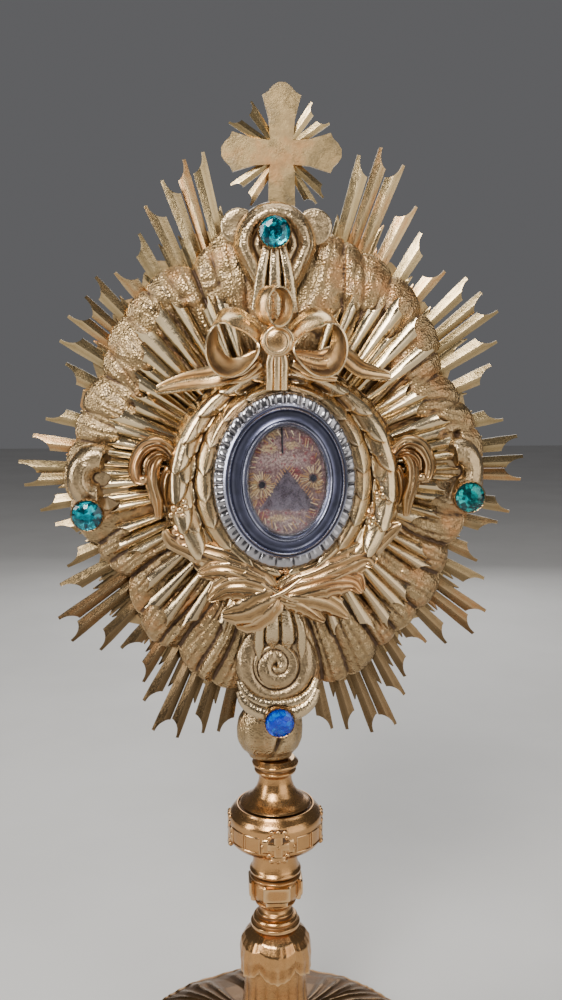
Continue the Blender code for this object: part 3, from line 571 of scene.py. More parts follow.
def outer_rays():
    """The flat sunburst: a ring hidden by the clouds, folded rays and the spurs beside them."""
    right = [(turn, tip, hook, width) for hook, width, turn, tip, _, _ in RAY_PAIRS] + RAYS_LOWER
    left = [(turn, tip, hook, width) for hook, width, _, _, turn, tip in RAY_PAIRS] + RAYS_LOWER
    rays = sorted(right + [(-turn, tip, -hook, width) for turn, tip, hook, width in left])
    shapes = []
    for degrees, tip, hook, width in rays:
        angle = math.radians(degrees)
        root = float(oval(RAY_ROOT, angle)) - 4
        slope = RNG.uniform(-0.012, 0.012)
        tint = RNG.uniform(0.2, 0.8)
        shapes.append(ray_bar(GLORY, angle, root, tip, hook, width, slope=slope, tint=tint))
        side = -hook
        if any(0 < (other[0] - degrees) * side < 5 for other in rays):
            side = hook
        end = root + 4 + SPUR_REACH * RNG.uniform(0.8, 1.15) * (tip - root)
        if not any(0 < (other[0] - degrees) * side < 4.2 for other in rays):
            shapes.append(spur(GLORY, angle, root, end, side, 0.41 * width, slope, tint))
    angle = dial(180)
    ring = []
    for radii, y in (((80, 98), 0.0), ((92, 110), 0.0), ((92, 110), -RAY_SHEET), ((80, 98), -RAY_SHEET)):
        x, z = polar(GLORY, angle, oval(radii, angle))
        ring.append(spots(x, y, z))
    shapes.append(hoop(ring))
    return piece("ray_glory", shapes, MATERIALS["rays"], ["ray_sheet"], rounds=4, depth=0.9)


# (degrees from the top, negative to the left; tip radius; width)
INNER_RAYS = [
    (-17.3, 89, 4.6), (-22.6, 90, 4.2), (-30.4, 95, 4.6), (-36.2, 98, 5.8), (-42.9, 95, 5.4),
    (-47.6, 89, 4.4), (-51.4, 82, 4.0), (-55.4, 83, 4.6), (-59.4, 77, 4.6), (-64.0, 79, 4.6),
    (-69.4, 84, 5.6), (-74.0, 84, 4.4), (-78.4, 82, 4.2), (-82.6, 86, 3.2), (-86.0, 85, 3.2),
    (-89.6, 85, 3.6), (-93.2, 85, 4.6), (-97.6, 84, 3.8), (-101.8, 82, 4.0), (-109.6, 82, 4.2),
    (-114.4, 88, 4.6), (-118.6, 81, 4.2), (-130.4, 86, 5.4), (-137.2, 92, 4.8), (-142.6, 93, 4.8),
    (-149.5, 88, 4.2), (-160.0, 84, 4.0), (20.2, 84, 4.0), (24.6, 92, 4.2), (30.6, 95, 4.8),
    (36.0, 102, 5.4), (40.2, 88, 4.0), (43.9, 100, 5.2), (50.2, 96, 5.0), (57.6, 78, 4.4), (61.2, 82, 5.2),
    (65.4, 79, 4.4), (71.8, 88, 5.0), (76.0, 85, 4.2), (80.4, 92, 4.0), (84.8, 92, 3.6), (88.4, 89, 3.2),
    (91.6, 89, 3.2), (94.8, 83, 4.6), (98.8, 83, 4.0), (104.6, 84, 3.6), (108.4, 76, 4.4), (118.4, 86, 4.4),
    (123.0, 90, 4.6), (133.2, 92, 5.0), (138.0, 92, 4.4), (143.0, 96, 5.0), (149.4, 92, 4.4),
    (159.5, 86, 4.0)]


def inner_rays():
    """Short bright rays that lie over the clouds and start under the wreath."""
    shapes = []
    for k, (degrees, tip, width) in enumerate(INNER_RAYS):
        hook = 1 if k % 2 else -1
        slope = 0.55 * (cloud_crest(0.8) + 13.0) / (tip - 50)
        shapes.append(ray_bar(GLORY, math.radians(degrees) + RNG.uniform(-0.008, 0.008), 50.0, tip, hook,
                              width * 1.4, ridge=RNG.uniform(1.8, 2.8), sheet=2.4, bite=5.5, base=-11.8,
                              slope=slope, narrow=0.55, point=1.4, tint=RNG.uniform(0.1, 0.7), crown=0.5))
    return piece("inner_rays", shapes, MATERIALS["shine"], [], rounds=4, depth=0.9)


# ---------------------------------------------------------------- clouds

# where two puffs meet on the outline: (degrees from the top, radius), clockwise
CLOUD_NOTCHES = [
    (10.5, 111.8), (17.3, 111.9), (22.3, 109.5), (31.9, 106.6), (43.9, 101.3), (55.1, 96.4), (61.1, 91.2),
    (71.2, 95.7), (79.8, 100.1), (90.3, 101.0), (105.3, 97.5), (115.5, 95.0), (124.1, 99.3), (135.8, 102.4),
    (144.2, 104.3), (150.9, 106.0), (160.9, 113.4), (168.0, 112.3), (180.0, 112.0),
    (189.6, 113.6), (196.4, 113.7), (201.1, 112.3), (208.2, 102.8), (213.3, 106.4), (222.4, 99.4),
    (232.5, 90.0), (239.6, 95.0), (246.3, 95.0), (260.8, 99.7), (271.1, 100.8), (277.7, 96.1),
    (286.5, 95.9), (298.2, 92.6), (304.8, 97.3), (315.1, 100.8), (323.6, 103.8), (330.1, 106.5),
    (337.2, 101.7), (343.0, 109.2), (351.3, 114.4)]
# y of the clouds at their edge, at their highest and at their back, all before the puffs are added
CLOUD_LOW, CLOUD_HIGH, CLOUD_BACK = -3.9, -11.6, -3.2
CLOUD_DENT = (89.5, 354.8)  # x and z of the small round dent above the right stone
PUFF = 3.9  # height of a puff
CLOUD_SPANS = list(zip(CLOUD_NOTCHES, CLOUD_NOTCHES[1:] + [(CLOUD_NOTCHES[0][0] + 360, CLOUD_NOTCHES[0][1])]))


def between_notches(angle):
    """For each puff: its two notches, which angles lie in it, and how far each is from one to the other."""
    degrees = np.degrees(angle) % 360
    degrees = np.where(degrees < CLOUD_NOTCHES[0][0], degrees + 360, degrees)
    for start, end in CLOUD_SPANS:
        share = (degrees - start[0]) / (end[0] - start[0])
        yield start, end, (degrees >= start[0]) & (degrees <= end[0]), np.clip(share, 0, 1)


def cloud_outline(angle):
    """Outer radius of the clouds: a bulge from each notch to the next."""
    out = np.zeros_like(angle)
    for (a0, r0), (a1, r1), inside, f in between_notches(angle):
        bulge = 0.2 * math.radians(a1 - a0) * r0 * arch((2 * f - 1) ** 2)
        out = np.where(inside, r0 + (r1 - r0) * f + bulge, out)
    return out


def cloud_crest(share):
    """Height of the clouds without their puffs; share is 0 at the centre and 1 at the outline."""
    return np.interp(share, [0.0, 0.62, 0.8, 0.93, 1.0], [CLOUD_HIGH, CLOUD_HIGH, -10.4, -7.6, -5.2])


def waves(x, z, length, count):
    """Smooth random hills about one unit high."""
    total = np.zeros_like(x)
    for _ in range(count):
        turn, phase = RNG.uniform(0, TAU, 2)
        pitch = TAU / (length * RNG.uniform(0.7, 1.4))
        total += np.sin(pitch * (x * math.cos(turn) + z * math.sin(turn)) + phase)
    return total / math.sqrt(count)


def cloud_lobes(x, z):
    """Domed lobes behind each bulge of the outline, each with a faint curl on it."""
    rise = np.zeros_like(x)
    for (a0, r0), (a1, r1) in CLOUD_SPANS:
        turn, reach = math.radians((a0 + a1) / 2), (r0 + r1) / 2
        half = math.radians(a1 - a0) * reach / 2
        cx, cz = polar(CLOUD, turn, reach - 0.85 * half - 1.5)
        away = np.hypot(x - cx, z - cz) / (1.62 * half + 1.0)
        around = np.arctan2(x - cx, z - cz)
        dome = 0.95 * np.clip(1 - away ** 2.4, 0, 1) ** 0.6
        roll = 0.14 * bell(away, 0.80, 0.13) - 0.13 * bell(away, 0.58, 0.10)
        rise = np.maximum(rise, PUFF * (dome + roll * (1 + 0.5 * np.cos(2 * around + turn)) * (away < 1)))
    return rise


def cloud_fingers(angle, share):
    """Long folded lobes of the lower clouds, each with a steep side and two grooves along it."""
    bent = angle + 0.16 * (1 - share) * np.sin(3 * angle + 5 * share)
    rise = np.zeros_like(bent)
    for k, (_, _, inside, f) in enumerate(between_notches(bent)):
        fold = np.sqrt(np.clip(np.sin(math.pi * f ** (0.72 if k % 2 else 1.3)), 0, 1))
        grooves = (0.20 * bell(f, 0.64 - 0.1 * np.sin(9 * share + k), 0.055)
                   + 0.14 * bell(f, 0.33 - 0.08 * np.sin(7 * share + 2 * k), 0.045))
        lift = 0.75 + 0.25 * math.sin(2.3 * k) - 0.35 * (1 - share)
        rise = np.where(inside, PUFF * fold * (lift - grooves), rise)
    return rise


def clouds():
    """The embossed cloud ring: rolled lobes above, folded fingers below, rounded to a scalloped edge."""
    rows = 96
    angle = dial(980)
    outline = cloud_outline(angle)
    share = 1 - (1 - np.linspace(0, 1, rows)) ** 1.45
    inner = oval((40.0, 48.0), angle)
    reach = inner + (outline - inner) * share[:, None]
    x, z = polar(CLOUD, angle, reach)
    level = reach / outline
    below = np.interp(np.degrees(angle), [92, 116, 244, 268], [0, 1, 1, 0])
    bend = (1 - below) * (1 - level) * (0.30 * np.sin(5 * angle + 2 * level) + 0.12 * np.sin(11 * angle))
    fingers = cloud_fingers(angle + bend, level) + 0.5
    lobes = 0.5 * cloud_lobes(x, z) + 0.62 * fingers + 0.55 * waves(x, z, 26, 5)
    rise = lobes * (1 - below) + 1.2 * fingers * below
    streaks = np.sin(angle * 150 + 2.2 * np.sin(reach / 6) + 3 * np.sin(angle * 7))
    rough = RNG.normal(0, 0.016 + 0.016 * below, x.shape) + 0.12 * waves(x, z, 9.0, 6) + 0.05 * streaks
    rough = rough + 0.16 * below * waves(x, z, 4.6, 7)
    front = cloud_crest(level) - rise + 0.5 * PUFF + rough
    y = CLOUD_LOW + (front - CLOUD_LOW) * np.maximum(arch(level ** 26), 0.02)
    y += 3.2 * np.exp(-((x - CLOUD_DENT[0]) ** 2 + (z - CLOUD_DENT[1]) ** 2) / 3.4)
    skin = hoop([*spots(x, y, z), *spots(x[[-1, 0]], CLOUD_BACK, z[[-1, 0]])])
    return piece("cloud_ring_relief", [skin], MATERIALS["cloud"], ["cloud_ring"],
                 sharp=None, rounds=26, depth=1.0)


# ---------------------------------------------------------------- wreath

# half axes of its inner and outer edge, and its y across from one to the other
WREATH_IN, WREATH_OUT = (32.6, 40.8), (57.2, 58.4)
WREATH_SHARES = [0.0, 0.05, 0.20, 0.34, 0.45, 0.56, 0.70, 0.84, 0.94, 1.0]
WREATH_FRONTS = [-22.6, -24.6, -25.2, -23.4, -21.4, -22.8, -23.6, -22.4, -18.6, -13.4]
WREATH_BACK, BERRY = -12.9, 2.1
# rows of leaves on each side: count, degrees to the first and between them, place across the wreath,
# length, width, lean, height of the dome, depth of the ribs
LEAF_ROWS = [
    (9, 8.0, 19.0, 0.19, 22.0, 9.8, 0.03, 1.4, 0.0),
    (12, 2.0, 15.0, 0.58, 17.0, 7.6, -0.12, 0.9, 0.6),
    (11, 5.0, 16.0, 0.76, 21.0, 14.6, 0.06, 2.2, 0.8)]


def on_wreath(angle, share, rise):
    """A point of the wreath: share runs from its inner to its outer edge, rise stands off its surface."""
    inner = polar(CASE, angle, oval(WREATH_IN, angle))
    outer = polar(WREATH, angle, oval(WREATH_OUT, angle))
    x, z = (a + (b - a) * share for a, b in zip(inner, outer))
    return spots(x, np.interp(share, WREATH_SHARES, WREATH_FRONTS) - rise, z)


def wreath_leaf(angle, share, length, width, turn, side, high, ribs, tint):
    """A leaf that hangs down the wreath and follows its curve; its tip lies over the next leaf."""
    s, t = np.meshgrid(np.linspace(0, 1, 21), np.linspace(-1, 1, 13), indexing="ij")
    half = width / 2 * np.clip(s * 3.0, 0.25, 1) ** 0.5 * np.clip(1 - s ** 6, 0.002, 1) ** 0.55
    spine, aside = (s - 0.4) * length, t * half
    run = spine * math.cos(turn) - aside * math.sin(turn)
    out = spine * math.sin(turn) + aside * math.cos(turn)
    inner, outer = oval(WREATH_IN, angle), oval(WREATH_OUT, angle)
    theta = angle + side * run / (inner * (1 - share) + outer * share)
    dome = high * np.clip(1 - np.abs(t) ** 2.5, 0, 1) ** 0.6 * (0.35 + 0.65 * s)
    dome = dome - ribs * 0.35 * bell(t, 0, 0.10) * (1 - 0.8 * s) + 2.6 * s
    dome = dome + ribs * 0.10 * np.cos(6 * math.pi * t * (1.1 - 0.4 * s)) * (s > 0.1)
    dome = np.where(s < 0.01, -1.0, dome)
    place = np.clip(share + out / (outer - inner), 0.0, 1.05)
    return slab(on_wreath(theta, place, dome), on_wreath(theta, place, -1.8), tint)


def berries(angle, share):
    """A cluster of seven berries, one in the middle and the others in a spiral round it."""
    shapes = []
    for k in range(7):
        turn = k * 2.4
        far = BERRY * 1.25 * math.sqrt(k / 2.6)
        spot = on_wreath(angle + far * math.cos(turn) / 50, share + far * math.sin(turn) / 21,
                         2.0 - 0.3 * far / BERRY)
        shapes.append(blob(spot, (BERRY, BERRY * 0.9, BERRY), 9, 14, 0.75))
    return shapes


def wreath():
    """Laurel wreath: a smooth inner row and a ribbed outer row of leaves with a valley between them."""
    top = on_wreath(dial(220), np.linspace(0, 1, 26)[:, None], 0.0)
    back = top[[-1, 0]] * (1, 0, 1) + (0, WREATH_BACK, 0)
    shapes = [hoop([*top, *back], 0.4)]
    for side in (-1, 1):
        for count, first, step, place, length, width, lean, high, ribs in LEAF_ROWS:
            for k in range(count):
                turn = math.radians(side * (first + step * k))
                shapes.append(wreath_leaf(turn, place, length, width * RNG.uniform(0.92, 1.08),
                                          lean + RNG.uniform(-0.05, 0.05), side, high, ribs,
                                          RNG.uniform(0.4, 0.65)))
    for degrees, place in ((97, 0.62), (-103, 0.72), (112, 0.66)):
        shapes += berries(math.radians(degrees), place)
    return piece("laurel_wreath", shapes, MATERIALS["wreath"], ["wreath"], rounds=6, depth=0.45)


# ---------------------------------------------------------------- ribbon bow

def ribbon(path, facing, widths, creases=2, crease=0.25, crown=0.6, tint=0.5, phase=0.0, thick=0.9):
    """A folded metal ribbon: facing is the way its broad side looks at each point of the path."""
    path = np.asarray(path, float)
    _, across, out = frames(path, facing)
    t = np.linspace(-1, 1, 13)
    widths = np.broadcast_to(widths, len(path))[:, None, None]
    s = np.linspace(0, 1, len(path))[:, None]
    rise = crown * (1 - t ** 2) + crease * np.cos(math.pi * creases * (t + 0.18 * np.sin(5 * s + phase)))
    rise = rise + 0.35 * bell(np.abs(t), 0.93, 0.07)
    points = path[:, None] + across[:, None] * widths / 2 * t[None, :, None] + out[:, None] * rise[..., None]
    return slab(points, points - out[:, None] * thick, tint)


def bow_loop(name, side):
    """A side loop: the outside of the ribbon shows above its eye and the inside below it."""
    centre, half = extent(name)
    front = centre[1] - half[1]
    turn = np.linspace(-0.06, 1.06, 65) * TAU
    path = spots(centre[0] - side * (half[0] - 0.3) * np.cos(turn), front + 4.0 + 1.2 * np.cos(turn),
                 centre[2] + 0.4 + 0.80 * half[2] * np.sin(turn) * (1.0 - 0.30 * np.cos(turn)))
    along = np.gradient(path, axis=0)
    along /= np.linalg.norm(along, axis=1)[:, None]
    tilt = math.radians(38)
    facing = np.cross((0.36 * side, -math.cos(tilt), -math.sin(tilt)), along) * side
    return ribbon(path, facing, 13.6 - 4.2 * np.clip(np.cos(turn), 0, 1), 1, 0.35, 0.9, 0.52, side)


def bow():
    """The bow: two side loops, a coiled knot, a small loop standing on it and three cords hanging below."""
    low, high = box("bow_knot")
    front = low[1]
    knot = ((low[0] + high[0]) / 2 + 1.2, front + 4.2, low[2] + 0.475 * (high[2] - low[2]))
    shapes = [bow_loop("bow_loop_left", -1), bow_loop("bow_loop_right", 1)]
    turn = np.linspace(0, 2.1 * TAU, 74)
    reach = 6.9 - 2.4 * turn / TAU
    coil = spots(knot[0] + reach * np.cos(turn), knot[1] - 3.0 + 0.16 * reach, knot[2] + reach * np.sin(turn))
    shapes += [blob(knot, (8.0, 3.6, 7.8), 14, 26, 1.2),
               cord_of(coil, 1.15, np.linspace(1.2, 0.5, 74), 10, tint=1.2)]
    turn = np.linspace(-0.04, 1.04, 53) * TAU
    ring = spots(knot[0] + 6.4 * np.sin(turn) - 1.4, front + 3.4, knot[2] + 15.6 - 8.6 * np.cos(turn))
    facing = np.cross(np.gradient(ring, axis=0), (0.62, -0.78, -0.1))
    shapes.append(ribbon(ring, facing, 7.6, 1, 0.2, 0.4, 0.62))
    for k in range(3):
        aside = 3.3 * k - 3.4
        x = knot[0] + aside
        spine = spline([(knot[0] + 0.35 * aside, knot[1] + 0.2, knot[2] - 3), (x, front + 4.4, knot[2] - 9),
                        (x, front + 5.2, knot[2] - 16), (x * 1.05, front + 6.4, knot[2] - 22.0)], 22)
        shapes.append(cord_of(spine, 1.9, np.linspace(1.6, 1.9, 22), 12, tint=0.85 if k % 2 else 0.6))
    nodes = ["bow_loop_left", "bow_loop_right", "bow_knot"]
    return piece("ribbon_bow", shapes, MATERIALS["ribbon"], nodes, rounds=8, depth=0.6)


def bow_tails():
    """The ribbon's two ends, which wave out sideways from behind the knot, each with a fold beside it."""
    far_left, far_right = box("tail_left")[0][0], box("tail_right")[1][0]
    left = [(-9, -27.5, 393), (-20, -27.2, 387), (-32, -25.4, 383.5), (-44, -22.0, 381),
            (far_left, -18.6, 377.5)]
    right = [(7, -28.0, 393), (19, -28.0, 391), (30, -26.4, 393.5), (40, -22.4, 387),
             (far_right, -18.6, 383.5)]
    folds = ([(-8, -29.5, 389), (-16, -29.4, 383.5), (-27, -27.6, 381)],
             [(6, -29.5, 389), (15, -29.4, 384), (27, -27.6, 382.5)])
    s = np.linspace(0, 1, 48)
    width = 7.0 + 5.5 * np.sin(math.pi * s ** 0.8) ** 0.8 - 2.0 * s ** 6
    shapes = [ribbon(spline(left, 48), (-0.1, -0.8, 0.6), width, 2, 0.4, 0.7, 0.75, 0.0, 1.0),
              ribbon(spline(right, 48), (0.1, -0.75, 0.66), width, 2, 0.4, 0.7, 0.75, 2.0, 1.0)]
    for fold in folds:
        shapes.append(ribbon(spline(fold, 24), (0, -0.7, -0.7), np.linspace(7, 3.0, 24), 2, 0.35, tint=0.8,
                             thick=1.0))
    return piece("ribbon_tails", shapes, MATERIALS["ribbon"], ["tail_left", "tail_right"],
                 rounds=8, depth=0.5)


# ---------------------------------------------------------------- theca

def oval_ring(centre, profile, steps, wave=None):
    """A ring turned about an upright oval opening: profile has (half width, half height, y) rows."""
    angle = dial(steps)
    rings = []
    for k, (half_x, half_z, y) in enumerate(profile):
        x, z = polar(centre, angle, oval((half_x, half_z), angle))
        rings.append(spots(x, y + (0 if wave is None else wave(angle, k)), z))
    return hoop(rings)


FLUTES = 62
WINDOW = (17.9, 25.0)  # half axes of the opening that shows the relic


def fluted_ring():
    """Silvered border of rounded gadroons round the case, in pairs with a deeper groove between them."""
    centre, half = extent("fluted_ring")
    back = centre[1] + half[1]
    inset = (0.0, 0.1, 0.7, 1.8, 3.2, 4.6, 6.0, 7.4, 7.6, 0.0)
    front = (0.4, 1.8, 3.3, 4.3, 4.7, 4.8, 4.8, 4.6, 0.0, 0.0)
    groove = (0.1, 0.5, 0.9, 1.2, 1.3, 1.2, 1.0, 0.6, 0.0, 0.0)

    def wave(angle, k):
        wander = angle + 0.012 * np.sin(5 * angle)
        beat = np.abs(np.sin(wander * FLUTES / 2))
        pair = 0.63 + 0.27 * np.cos(wander * FLUTES / 2)
        return groove[k] * (1 - beat ** 0.85) * pair

    profile = [(half[0] - i, half[2] - i, back - f) for i, f in zip(inset, front)]
    ring = oval_ring(centre[[0, 2]], profile, FLUTES * 14, wave)
    return piece("fluted_border", [ring], MATERIALS["silver"], ["fluted_ring"], depth=0.7)


def theca_frame():
    """Dark moulded frame: an outer bead, a wide cove, an inner bead and a step down to the crystal."""
    centre, half = extent("theca_frame")
    # how far in towards the window, and height in front of the frame's back
    rows = [(0.0, 5.3), (0.0, 7.0), (0.03, 8.6), (0.10, 9.3), (0.15, 9.2), (0.19, 10.0), (0.235, 10.6),
            (0.28, 10.1), (0.31, 9.0), (0.36, 8.4), (0.46, 8.0), (0.58, 8.1), (0.68, 8.6), (0.71, 8.5),
            (0.74, 9.2), (0.78, 9.5), (0.82, 9.1), (0.84, 8.2), (0.88, 7.9), (0.95, 6.8), (1.0, 5.2),
            (1.0, 2.0)]
    rim, back = half[[0, 2]], centre[1] + half[1]
    profile = [(*(rim + (np.array(WINDOW) - rim) * share), back - lift) for share, lift in rows]
    points, faces, tint = oval_ring(CASE, profile, 240)
    reach = np.hypot(*((points[:, [0, 2]] - CASE) / rim).T)
    points[:, 0] += 0.9 * np.clip((1 - reach) / 0.35, 0, 1)
    return piece("theca_bezel", [(points, faces, tint)], MATERIALS["dark"], ["theca_frame"],
                 sharp=30, rounds=3, depth=0.45)


def theca_glass():
    """The domed crystal over the relic."""
    centre, half = extent("theca_glass")
    share = np.linspace(1.0, 0.04, 12)[:, None]
    x, z = polar(centre[[0, 2]], dial(96), share * oval(half[[0, 2]], dial(96)))
    dome = 1.4 * (1 - share ** 2)
    front, back = spots(x, centre[1] - half[1] + 0.3 - dome, z), spots(x, centre[1] + half[1] - dome, z)
    material = crystal("rock_crystal", (0.97, 0.97, 0.98))
    skin = tube([*front[::-1], *back])
    return piece("theca_crystal", [skin], material, ["theca_glass"], sharp=50)


def spot_mask(across, up, spot, size, ragged):
    """1 inside an oval patch of the relic's ground, with a soft ragged edge."""
    wide, tall = ((value - at) * (1 / half) for value, at, half in zip((across, up), spot, size))
    away = (wide ** 2.0 + tall ** 2.0).math("SQRT")
    return (away + (ragged - 0.5) * 3.6).ramp(1.35, 0.65)


# stains and scraps on the relic's ground: (colour, strength, ((x, z), (half width, half height)) mm, ...)
RELIC_PATCHES = [
    ((0.60, 0.47, 0.42), 0.75, ((-1.0, 9.6), (15.0, 3.6)), ((3.5, -19.5), (6.5, 2.4))),
    ((0.78, 0.58, 0.28), 0.8, ((-13.8, -3.5), (2.6, 7.0)), ((-7.5, 15.5), (4.4, 2.6)),
     ((3.0, 16.5), (4.0, 2.0)), ((-6.5, 22.5), (4.0, 2.4)), ((-3.0, -17.8), (9.0, 1.7)),
     ((15.5, -1.5), (1.6, 6.0))),
    ((0.30, 0.03, 0.045), 0.85, ((-8.5, -10.0), (5.2, 4.0)), ((5.0, 3.4), (3.4, 3.4)),
     ((9.5, 19.0), (3.6, 2.6)), ((-10.5, -16.5), (3.6, 3.4)), ((12.5, -12.5), (3.4, 4.6)),
     ((13.0, 10.5), (2.0, 3.0)), ((-13.0, 15.0), (1.8, 4.4))),
    ((0.035, 0.03, 0.05), 0.9, ((-10.9, -1.9), (2.2, 2.3)), ((13.2, 1.2), (2.2, 2.4)),
     ((-1.5, 19.5), (0.7, 6.8))),
]
# grime, red threads and pale scraps: noise scale, detail and roughness, ramp from, to, start and end, colour
RELIC_SPECKS = [
    (900.0, 5.0, 0.7, 0.42, 0.56, 0.75, 0.0, (0.13, 0.06, 0.06)),
    (520.0, 4.0, 0.6, 0.56, 0.64, 0.0, 0.75, (0.28, 0.04, 0.05)),
    (700.0, 3.0, 0.6, 0.62, 0.68, 0.0, 0.8, (0.90, 0.74, 0.50)),
]
# (x, z) of the mound's peak and of its two lower corners, from the middle of the relic
MOUND_PEAK, MOUND_FOOT = (1.0, 5.2), ((-11.0, -11.6), (13.0, -10.2))


def relic_cloth():
    """Faded cloth, paper and gold scraps behind the crystal, with a dark pointed mound in the middle."""
    paint = Paint("relic_ground")
    centre = middle("relic_panel")
    across, up = (paint.split("ShaderNodeSeparateXYZ", paint.place, k) * (1 / MM) - centre[k] for k in (0, 2))
    blotch = paint.noise(260.0, 5.0, 0.65, 0.5)
    level = blotch * 0.65 + paint.noise(1500.0, 4.0, 0.7) * 0.5
    colour = paint.blend(level.ramp(0.42, 0.68), (0.10, 0.045, 0.055, 1), (0.45, 0.31, 0.30, 1))
    for shade, strength, *patches in RELIC_PATCHES:
        for spot, size in patches:
            colour = paint.blend(spot_mask(across, up, spot, size, level) * strength, colour, (*shade, 1))
    for scale, detail, rough, low, high, start, end, shade in RELIC_SPECKS:
        specks = paint.noise(scale, detail, rough).ramp(low, high, start, end)
        colour = paint.blend(specks, colour, (*shade, 1))
    inside = (up + (blotch - 0.5) * 4.0).ramp(-14.6, -13.2, 0.0, 0.93)
    for (foot_x, foot_z), side in zip(MOUND_FOOT, (-1, 1)):
        run, fall = foot_x - MOUND_PEAK[0], foot_z - MOUND_PEAK[1]
        size = side * math.hypot(run, fall)
        beside = (across - MOUND_PEAK[0]) * (-fall / size) - (up - MOUND_PEAK[1]) * (-run / size)
        inside = (beside + (blotch - 0.5) * 3.0).ramp(0.6, -0.6) * inside
    slate = paint.blend(level.ramp(0.46, 0.66), (0.035, 0.025, 0.045, 1), (0.17, 0.15, 0.20, 1))
    paint.set(base_color=paint.blend(inside, colour, slate), roughness=0.62)
    paint.bump(level, 0.9, 0.5)
    return paint.material


def thread(start, end, bulge, size=0.2, tint=0.8):
    """A gold thread between two (x, z) places, arched forward in the middle."""
    half_way = [(a + b) / 2 for a, b in zip(start, end)]
    path = [(start[0], -31.62, start[1]), (half_way[0], -31.7 - bulge, half_way[1]), (end[0], -31.62, end[1])]
    return cord_of(spline(path, 7), size, size, 6, tint=tint)


def gold_thread():
    """Drawn gold thread: yellow to straw, brighter where it is rubbed."""
    paint = Paint("gold_thread")
    shade = paint.attribute("tint") + paint.noise(900.0) * 0.4
    colour = paint.blend(shade.ramp(0.35, 1.1), (0.55, 0.30, 0.09, 1), (0.98, 0.84, 0.52, 1))
    paint.set(base_color=colour, metallic=0.35, roughness=shade.ramp(0.2, 1.2, 0.5, 0.25))
    paint.bump(paint.noise(2500.0, 2.0), 0.5, 0.1)
    return paint.material


def relic_panel():
    """The relic's ground with its gold threads: two ray bursts, a border of loops and a fringed mound."""
    middle_of, half = extent("relic_panel")
    front, back = middle_of[1] - half[1], middle_of[1] + half[1]
    centre, half = middle_of[[0, 2]], half[[0, 2]]
    angle = dial(80)
    rings = []
    for share in np.linspace(0.03, 1.0, 16):
        x, z = polar(centre, angle, oval(half * share, angle))
        sink = 0.28 * RNG.uniform(0, 1, 80) * (share < 0.98)
        rings.append(spots(x, front + 0.35 - 0.3 * (1 - share) + sink, z))
    rings.append(rings[-1] * (1, 0, 1) + (0, back, 0))
    ground = piece("relic_ground", [tube(rings)], relic_cloth(), ["relic_panel"])
    shapes = []
    bursts = [np.array(spot) for spot, _ in RELIC_PATCHES[3][2:4]]
    for spot in bursts:
        for k in range(30):
            turn = k * TAU / 30 + RNG.uniform(-0.08, 0.08)
            near, far = RNG.uniform(2.1, 2.9), RNG.uniform(4.4, 6.8)
            ends = [centre + spot + r * np.array([math.sin(turn), math.cos(turn)]) for r in (near, far)]
            if (((ends[1] - centre) / half) ** 2).sum() < 0.80:
                shapes.append(thread(*ends, 0.25, RNG.uniform(0.14, 0.26), RNG.uniform(0.2, 0.9)))
    for k in range(46):
        turn = k * TAU / 46 + RNG.uniform(-0.05, 0.05)
        reach = oval(half, turn)
        ends = [polar(centre, turn + d, reach * f) for d, f in ((0, 0.86), (0.07, RNG.uniform(0.70, 0.80)))]
        shapes.append(thread(*ends, 0.35, 0.24, RNG.uniform(0.1, 0.9)))
    for along in np.linspace(0, 1, 15):
        for foot_of, side in zip(MOUND_FOOT, (-1, 1)):
            spot = centre + MOUND_PEAK + (np.array(foot_of) - MOUND_PEAK) * along
            far = RNG.uniform(1.6, 3.2)
            end = spot + (side * far * 0.55, far * 0.8)
            shapes.append(thread(spot, end, 0.2, 0.18, RNG.uniform(0.1, 0.7)))
    threads = piece("gold_threads", shapes, gold_thread(), [], rounds=2)
    dark = [blob((centre[0] + dx, -31.5, centre[1] + dz), (1.5, 0.7, 1.6), 8, 14) for dx, dz in bursts]
    line = np.array([(-1.7, -31.5, 25), (-1.5, -32, 19), (-1.3, -31.5, 13)]) + (centre[0], 0, centre[1])
    dark.append(cord_of(spline(line, 12), 0.4, 0.35, 8))
    bits = piece("relic_bits", dark, MATERIALS["plain_dark"], [])
    return ground, threads, bits


# ---------------------------------------------------------------- sprays and tendrils

def frond(route, width, creases, thick=1.2, lobes=5, arch_of=2.2, crease=0.28, curl=0.0, tint=0.6, tip=0.12):
    """An acanthus frond: arched, creased lengthwise, with a lobed edge and a tip that curls forward."""
    path = spline(route, 46)
    _, across, out = frames(path)
    s = np.linspace(0, 1, 46)[:, None]
    t = np.linspace(-1, 1, 4 * creases + 5)[None]
    body = np.clip(np.sin(math.pi * s ** 0.8), 0, 1) ** 0.6
    notches = 0.13 * np.abs(np.sin(math.pi * lobes * s)) ** 0.5 * (s > 0.2)
    half = width / 2 * (tip + (1 - tip) * body) * (1 - notches)
    rise = arch_of * (1 - t ** 2) * body + crease * np.cos(math.pi * creases * t) * (0.35 + 0.65 * body)
    rise = rise + curl * np.clip((s - 0.72) / 0.28, 0, 1) ** 2
    base = np.minimum(rise, 0.3 * rise) - thick
    skins = [path[:, None] + across[:, None] * (half * t * wide)[..., None] + out[:, None] * lift[..., None]
             for wide, lift in ((1, rise), (0.97, base))]
    return slab(*skins, tint)


